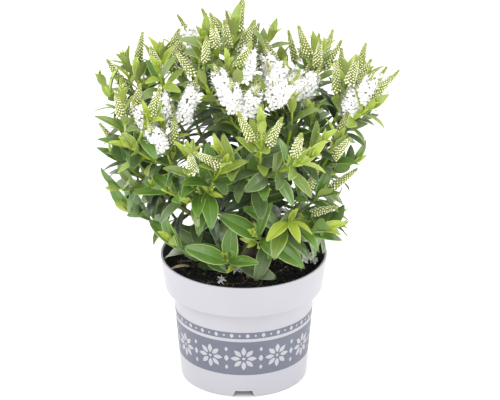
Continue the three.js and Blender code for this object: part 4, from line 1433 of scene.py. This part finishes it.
def add_print():
    """Grey-blue band with a row of rosettes and diamonds, and a border of small diamonds over it."""
    bands = joined(strip(PRINT_FOOT, PRINT_TOP, PRINT_LIFT), strip(BORDER_FOOT, BORDER_TOP, PRINT_LIFT))
    make_piece("print_band", bands, ["print_ink"])
    shapes = []
    middle = (PRINT_FOOT + PRINT_TOP) / 2
    pitch = 2 * pi * PRINT_RADIUS / ROSETTES
    for index in range(ROSETTES):
        shapes += printed_rosette(index * pitch, middle, ROSETTE_RADIUS)
        for rise, size in DIAMONDS:
            shapes.append(upright_diamond(index * pitch + pitch / 2, middle + rise, size, DIAMOND_WIDTH))
    pitch = 2 * pi * PRINT_RADIUS / BORDER_DIAMONDS
    height = BORDER_TOP - BORDER_FOOT
    for index in range(BORDER_DIAMONDS):
        size = BORDER_SIZES[index % 2] * height
        shapes.append(upright_diamond(index * pitch, BORDER_FOOT + height / 2, size, BORDER_WIDTH))
    make_piece("print_motifs", joined(*shapes), ["print_blank"])


# ---- soil and what lies on it

SOIL_RINGS = 33
SOIL_SIDES = 110
SOIL_SINK = 0.9  # that its surface lies under SOIL_LEVEL
SOIL_LIFT = 0.3  # over the pot's floor
SOIL_SLOPE = (30, 28)  # reach from which it falls, and over how far it falls by SOIL_EDGE_DROP
SOIL_WAVES = 9
WAVE_HEIGHT = 0.22
WAVE_PITCH = 1.2  # radians to a millimetre, at most
WAVE_PHASE = 6  # at most
CRUMBS = 1700
CRUMB_FORMS = 6
CRUMB_RADIUS = (0.5, 2.3)
CRUMB_LIFT = 0.25  # of its radius
CRUMB_EDGE = 2.5  # how far crumbs keep from the wall
BROWN_SHARE = 0.08  # of the crumbs
FIBRES = 110
FIBRE_LENGTH = (5, 17)
FIBRE_RADIUS = (0.1, 0.26)
FIBRE_BOW = 0.35
FIBRE_LIFT = (0.1, 1.6)
FIBRE_EDGE = 9
# Where flowers lie on the soil, and how many.
FALLEN = [(46, 7, 10), (38, 4, 3), (-5.7, -15, 3), (-16, -34, 2), (-30, 30, 3), (20, 42, 3)]
FALLEN_SPREAD = 5
FALLEN_LIFT = (0.6, 1.4)
FALLEN_SIZE = (0.75, 1.0)
DEAD_LEAF_MIDDLE = (-43, -3)
DEAD_LEAF_FOOT = (-54.0, -8, 1.2)  # the last is over the soil at the leaf's middle
DEAD_LEAF_LINE = (1.0, 0.35, 0.12)
DEAD_LEAF_FACE = (-0.2, -0.55, 0.8)
DEAD_LEAF_LENGTH = 20
GRAIN_PLACE = (3, -18, 0.9)  # the last is over the soil
GRAIN_SIZE = 1.7


def soil_height(x, y, waves):
    """Lumpy surface of the soil, a little lower toward the wall."""
    start, width = SOIL_SLOPE
    lumps = sum(WAVE_HEIGHT * sin(p * x + q * y + phase) for p, q, phase in waves)
    fall = SOIL_EDGE_DROP * max(0.0, (hypot(x, y) - start) / width)
    return SOIL_LEVEL - SOIL_SINK - fall + lumps


def on_soil(x, y, lift, waves):
    return x, y, soil_height(x, y, waves) + lift


def ring_of(reach, height):
    return [place(k * 360 / SOIL_SIDES, reach, height) for k in range(SOIL_SIDES)]


def add_soil():
    chance = random.Random(7)
    waves = []
    for _ in range(SOIL_WAVES):
        waves.append((*chances(chance, -WAVE_PITCH, WAVE_PITCH, 2), chance.uniform(0, WAVE_PHASE)))
    floor = FLOOR_LIFT + WALL
    below = [  # reach and height of the rings that lie in the pot
        (pot_inside(floor) - SOIL_GAP, floor + SOIL_LIFT),
        (BODY_TOP_RADIUS - WALL - SOIL_GAP, BODY_TOP + WALL),
        (BAND_FOOT_RADIUS - WALL - 1, BAND_FOOT + WALL + 0.6),
    ]
    reaches = np.linspace(0, pot_inside(SOIL_LEVEL) - SOIL_GAP, SOIL_RINGS + 1)[:0:-1]
    under = [point for reach, height in below for point in ring_of(reach, height)]
    top = [on_soil(x, y, 0, waves) for reach in reaches for x, y, _ in ring_of(reach, 0)]
    points = [*under, *top, (0, 0, floor + SOIL_LIFT), on_soil(0, 0, 0, waves)]
    soil = plain(points, capped_triangles(len(below) + SOIL_RINGS, SOIL_SIDES))
    make_piece("soil", soil, ["soil"], ["root_ball"])
    add_crumbs(chance, waves)
    add_fibres(chance, waves)
    add_fallen(chance, waves)


def spot_on_soil(chance, edge):
    """Any place on the soil that keeps clear of the wall."""
    reach = sqrt(chance.random()) * (pot_inside(SOIL_LEVEL) - SOIL_GAP - edge)
    return place(chance.uniform(0, 360), reach, 0)[:2]


def lump_template(chance):
    """Ragged lump: a ball of few faces with its corners pushed in and out."""
    ball = tube([(0, 0, -0.8), (0, 0, -0.3), (0, 0, 0.35), (0, 0, 0.8)], [0.45, 0.95, 0.9, 0.4], 6)
    return ball._replace(points=ball.points * chances(chance, 0.7, 1.25, len(ball.points))[:, None])


def add_crumbs(chance, waves):
    crumbs = []
    for _ in range(CRUMB_FORMS):
        template = lump_template(chance)
        origins, sizes = [], []
        for _ in range(CRUMBS // CRUMB_FORMS):
            x, y = spot_on_soil(chance, CRUMB_EDGE)
            size = mix(*CRUMB_RADIUS, chance.random() ** 3)
            origins.append(on_soil(x, y, CRUMB_LIFT * size, waves))
            sizes.append(size)
        directions = [(*chances(chance, -1, 1, 2), chance.uniform(0.2, 1)) for _ in sizes]
        spins = chances(chance, 0, ANY_TURN, len(sizes))
        slots = np.array([int(chance.random() < BROWN_SHARE) for _ in sizes])
        slots = np.repeat(slots, len(template.triangles))
        crumbs.append(copies(template, origins, frames_along(np.array(directions), spins), sizes, slots))
    make_piece("soil_crumbs", joined(*crumbs), ["crumb_dark", "crumb_brown"], smooth=False)


def add_fibres(chance, waves):
    fibres = []
    for _ in range(FIBRES):
        x, y = spot_on_soil(chance, FIBRE_EDGE)
        length, heading = chance.uniform(*FIBRE_LENGTH), chance.uniform(0, ANY_TURN)
        bow, lift = chance.uniform(-FIBRE_BOW, FIBRE_BOW), chance.uniform(*FIBRE_LIFT)
        path = []
        for share in np.linspace(-0.5, 0.5, 6):
            across = bow * length * (0.25 - share**2)
            px = x + cos(heading) * share * length - sin(heading) * across
            py = y + sin(heading) * share * length + cos(heading) * across
            path.append(on_soil(px, py, 0.5 + lift * (1 - 4 * share**2), waves))
        thick = chance.uniform(*FIBRE_RADIUS)
        fibres.append(tube(path, [thick * 0.5, thick, thick, thick, thick, thick * 0.4], 4))
    make_piece("soil_fibres", joined(*fibres), ["fibre"])


def add_fallen(chance, waves):
    """Dropped flowers, a curled dead leaf and a pale grain on the soil."""
    origins, directions = [], []
    for x, y, count in FALLEN:
        for _ in range(count):
            px, py = (x, y) + chances(chance, -FALLEN_SPREAD, FALLEN_SPREAD, 2)
            origins.append(on_soil(px, py, chance.uniform(*FALLEN_LIFT), waves))
            directions.append((chance.uniform(-0.7, 0.7), chance.uniform(-1, 0.3), 1))
    spins = chances(chance, 0, ANY_TURN, len(origins))
    sizes = chances(chance, *FALLEN_SIZE, len(origins))
    fallen = copies(FLOWER, origins, frames_along(np.array(directions), spins), sizes)
    make_piece("fallen_flowers", fallen, FLOWER_FINISHES)
    foot = DEAD_LEAF_FOOT + UP * soil_height(*DEAD_LEAF_MIDDLE, waves)
    line, face = unit(np.array(DEAD_LEAF_LINE)), unit(np.array(DEAD_LEAF_FACE))
    form = Form(width=0.13, fold=0.9, curl=0.35, roll=0, roundness=1)
    dead = leaf_shape(Leaf(foot, line, face, DEAD_LEAF_LENGTH, "old", form))
    make_piece("dead_leaf", plain(dead.points, dead.triangles), ["dead_leaf"])
    frames = frames_along(np.array([[0.2, 0.1, 1.0]]), np.zeros(1))
    grain = copies(lump_template(chance), [on_soil(*GRAIN_PLACE, waves)], frames, [GRAIN_SIZE])
    make_piece("pale_grain", grain, ["pale_grain"])


# ---- wood

def add_wood(limbs):
    """The main stem and the boughs, with bark that turns green toward the tips."""
    shapes = []
    for seed, limb in enumerate(limbs.values(), 1):
        shape = tube(limb.points, limb.radii, LIMB_SIDES, relief=bark_relief(limb, seed))
        rows = np.arange(len(shape.triangles)) // (2 * LIMB_SIDES)
        radii = limb.radii[np.minimum(rows, len(limb.radii) - 1)]
        shapes.append(shape._replace(slots=(radii < WOODY_RADIUS).astype(int)))
    nodes = ["main_stem"] + [f"bough_{item.name}" for item in SPRAYS[1:]]
    make_piece("wood", joined(*shapes), ["bark", "bark_green"], nodes)


# ---- stage

LIGHTS = {  # place, width and power
    "key": ((-0.5, -0.9, 1.5), 0.8, 10),
    "fill": ((0.4, -1.9, 1.1), 0.9, 9),
    "top": ((0.1, 0.3, 1.5), 0.9, 5),
    "left": ((-1.6, 0.2, 0.5), 0.9, 9),
    "right": ((1.6, 0.2, 0.5), 0.9, 10),
    "low": ((0.0, -1.7, 0.1), 0.8, 6),
}
LIT_PLACE = Vector((0, 0, 0.16))
WORLD_LIGHT = 1.12
FLOOR_REACH = 6


def add_floor():
    mesh = bpy.data.meshes.new("floor")
    corners = [(x * FLOOR_REACH, y * FLOOR_REACH, 0) for x, y in ((-1, -1), (1, -1), (1, 1), (-1, 1))]
    mesh.from_pydata(corners, [], [(0, 1, 2, 3)])
    mesh.materials.append(material("floor"))
    floor = add_object("floor", mesh)


def add_light(name, position, size, power):
    data = bpy.data.lights.new(name, "AREA")
    data.size = size
    data.energy = power
    made = add_object(name, data)
    made.location = position
    made.rotation_euler = (LIT_PLACE - Vector(position)).to_track_quat("-Z", "Y").to_euler()


def add_stage():
    add_floor()
    world = bpy.data.worlds.new("world")
    world.use_nodes = True
    background = world.node_tree.nodes["Background"]
    background.inputs["Color"].default_value = (1, 1, 1, 1)
    background.inputs["Strength"].default_value = WORLD_LIGHT
    bpy.context.scene.world = world
    for name, settings in LIGHTS.items():
        add_light(name, *settings)
    bpy.context.scene.view_settings.view_transform = "Standard"


def add_camera():
    data = bpy.data.cameras.new("camera")
    data.lens = CAMERA_LENS
    data.clip_end = CAMERA_END
    made = add_object("camera", data)
    made.location = (CAMERA_ASIDE * MM, -CAMERA_DISTANCE * MM, CAMERA_HEIGHT * MM)
    made.rotation_euler = (radians(90 - CAMERA_TILT), 0, 0)
    bpy.context.scene.camera = made


# ---- the scene

add_camera()
add_stage()
add_pot()
add_print()
add_soil()
LIMBS = grow_limbs()
add_wood(LIMBS)
MASSES = [f"foliage_{item.name}" for item in SPRAYS]
for batch in grow_crown(LIMBS):
    batch.make_pieces(MASSES)
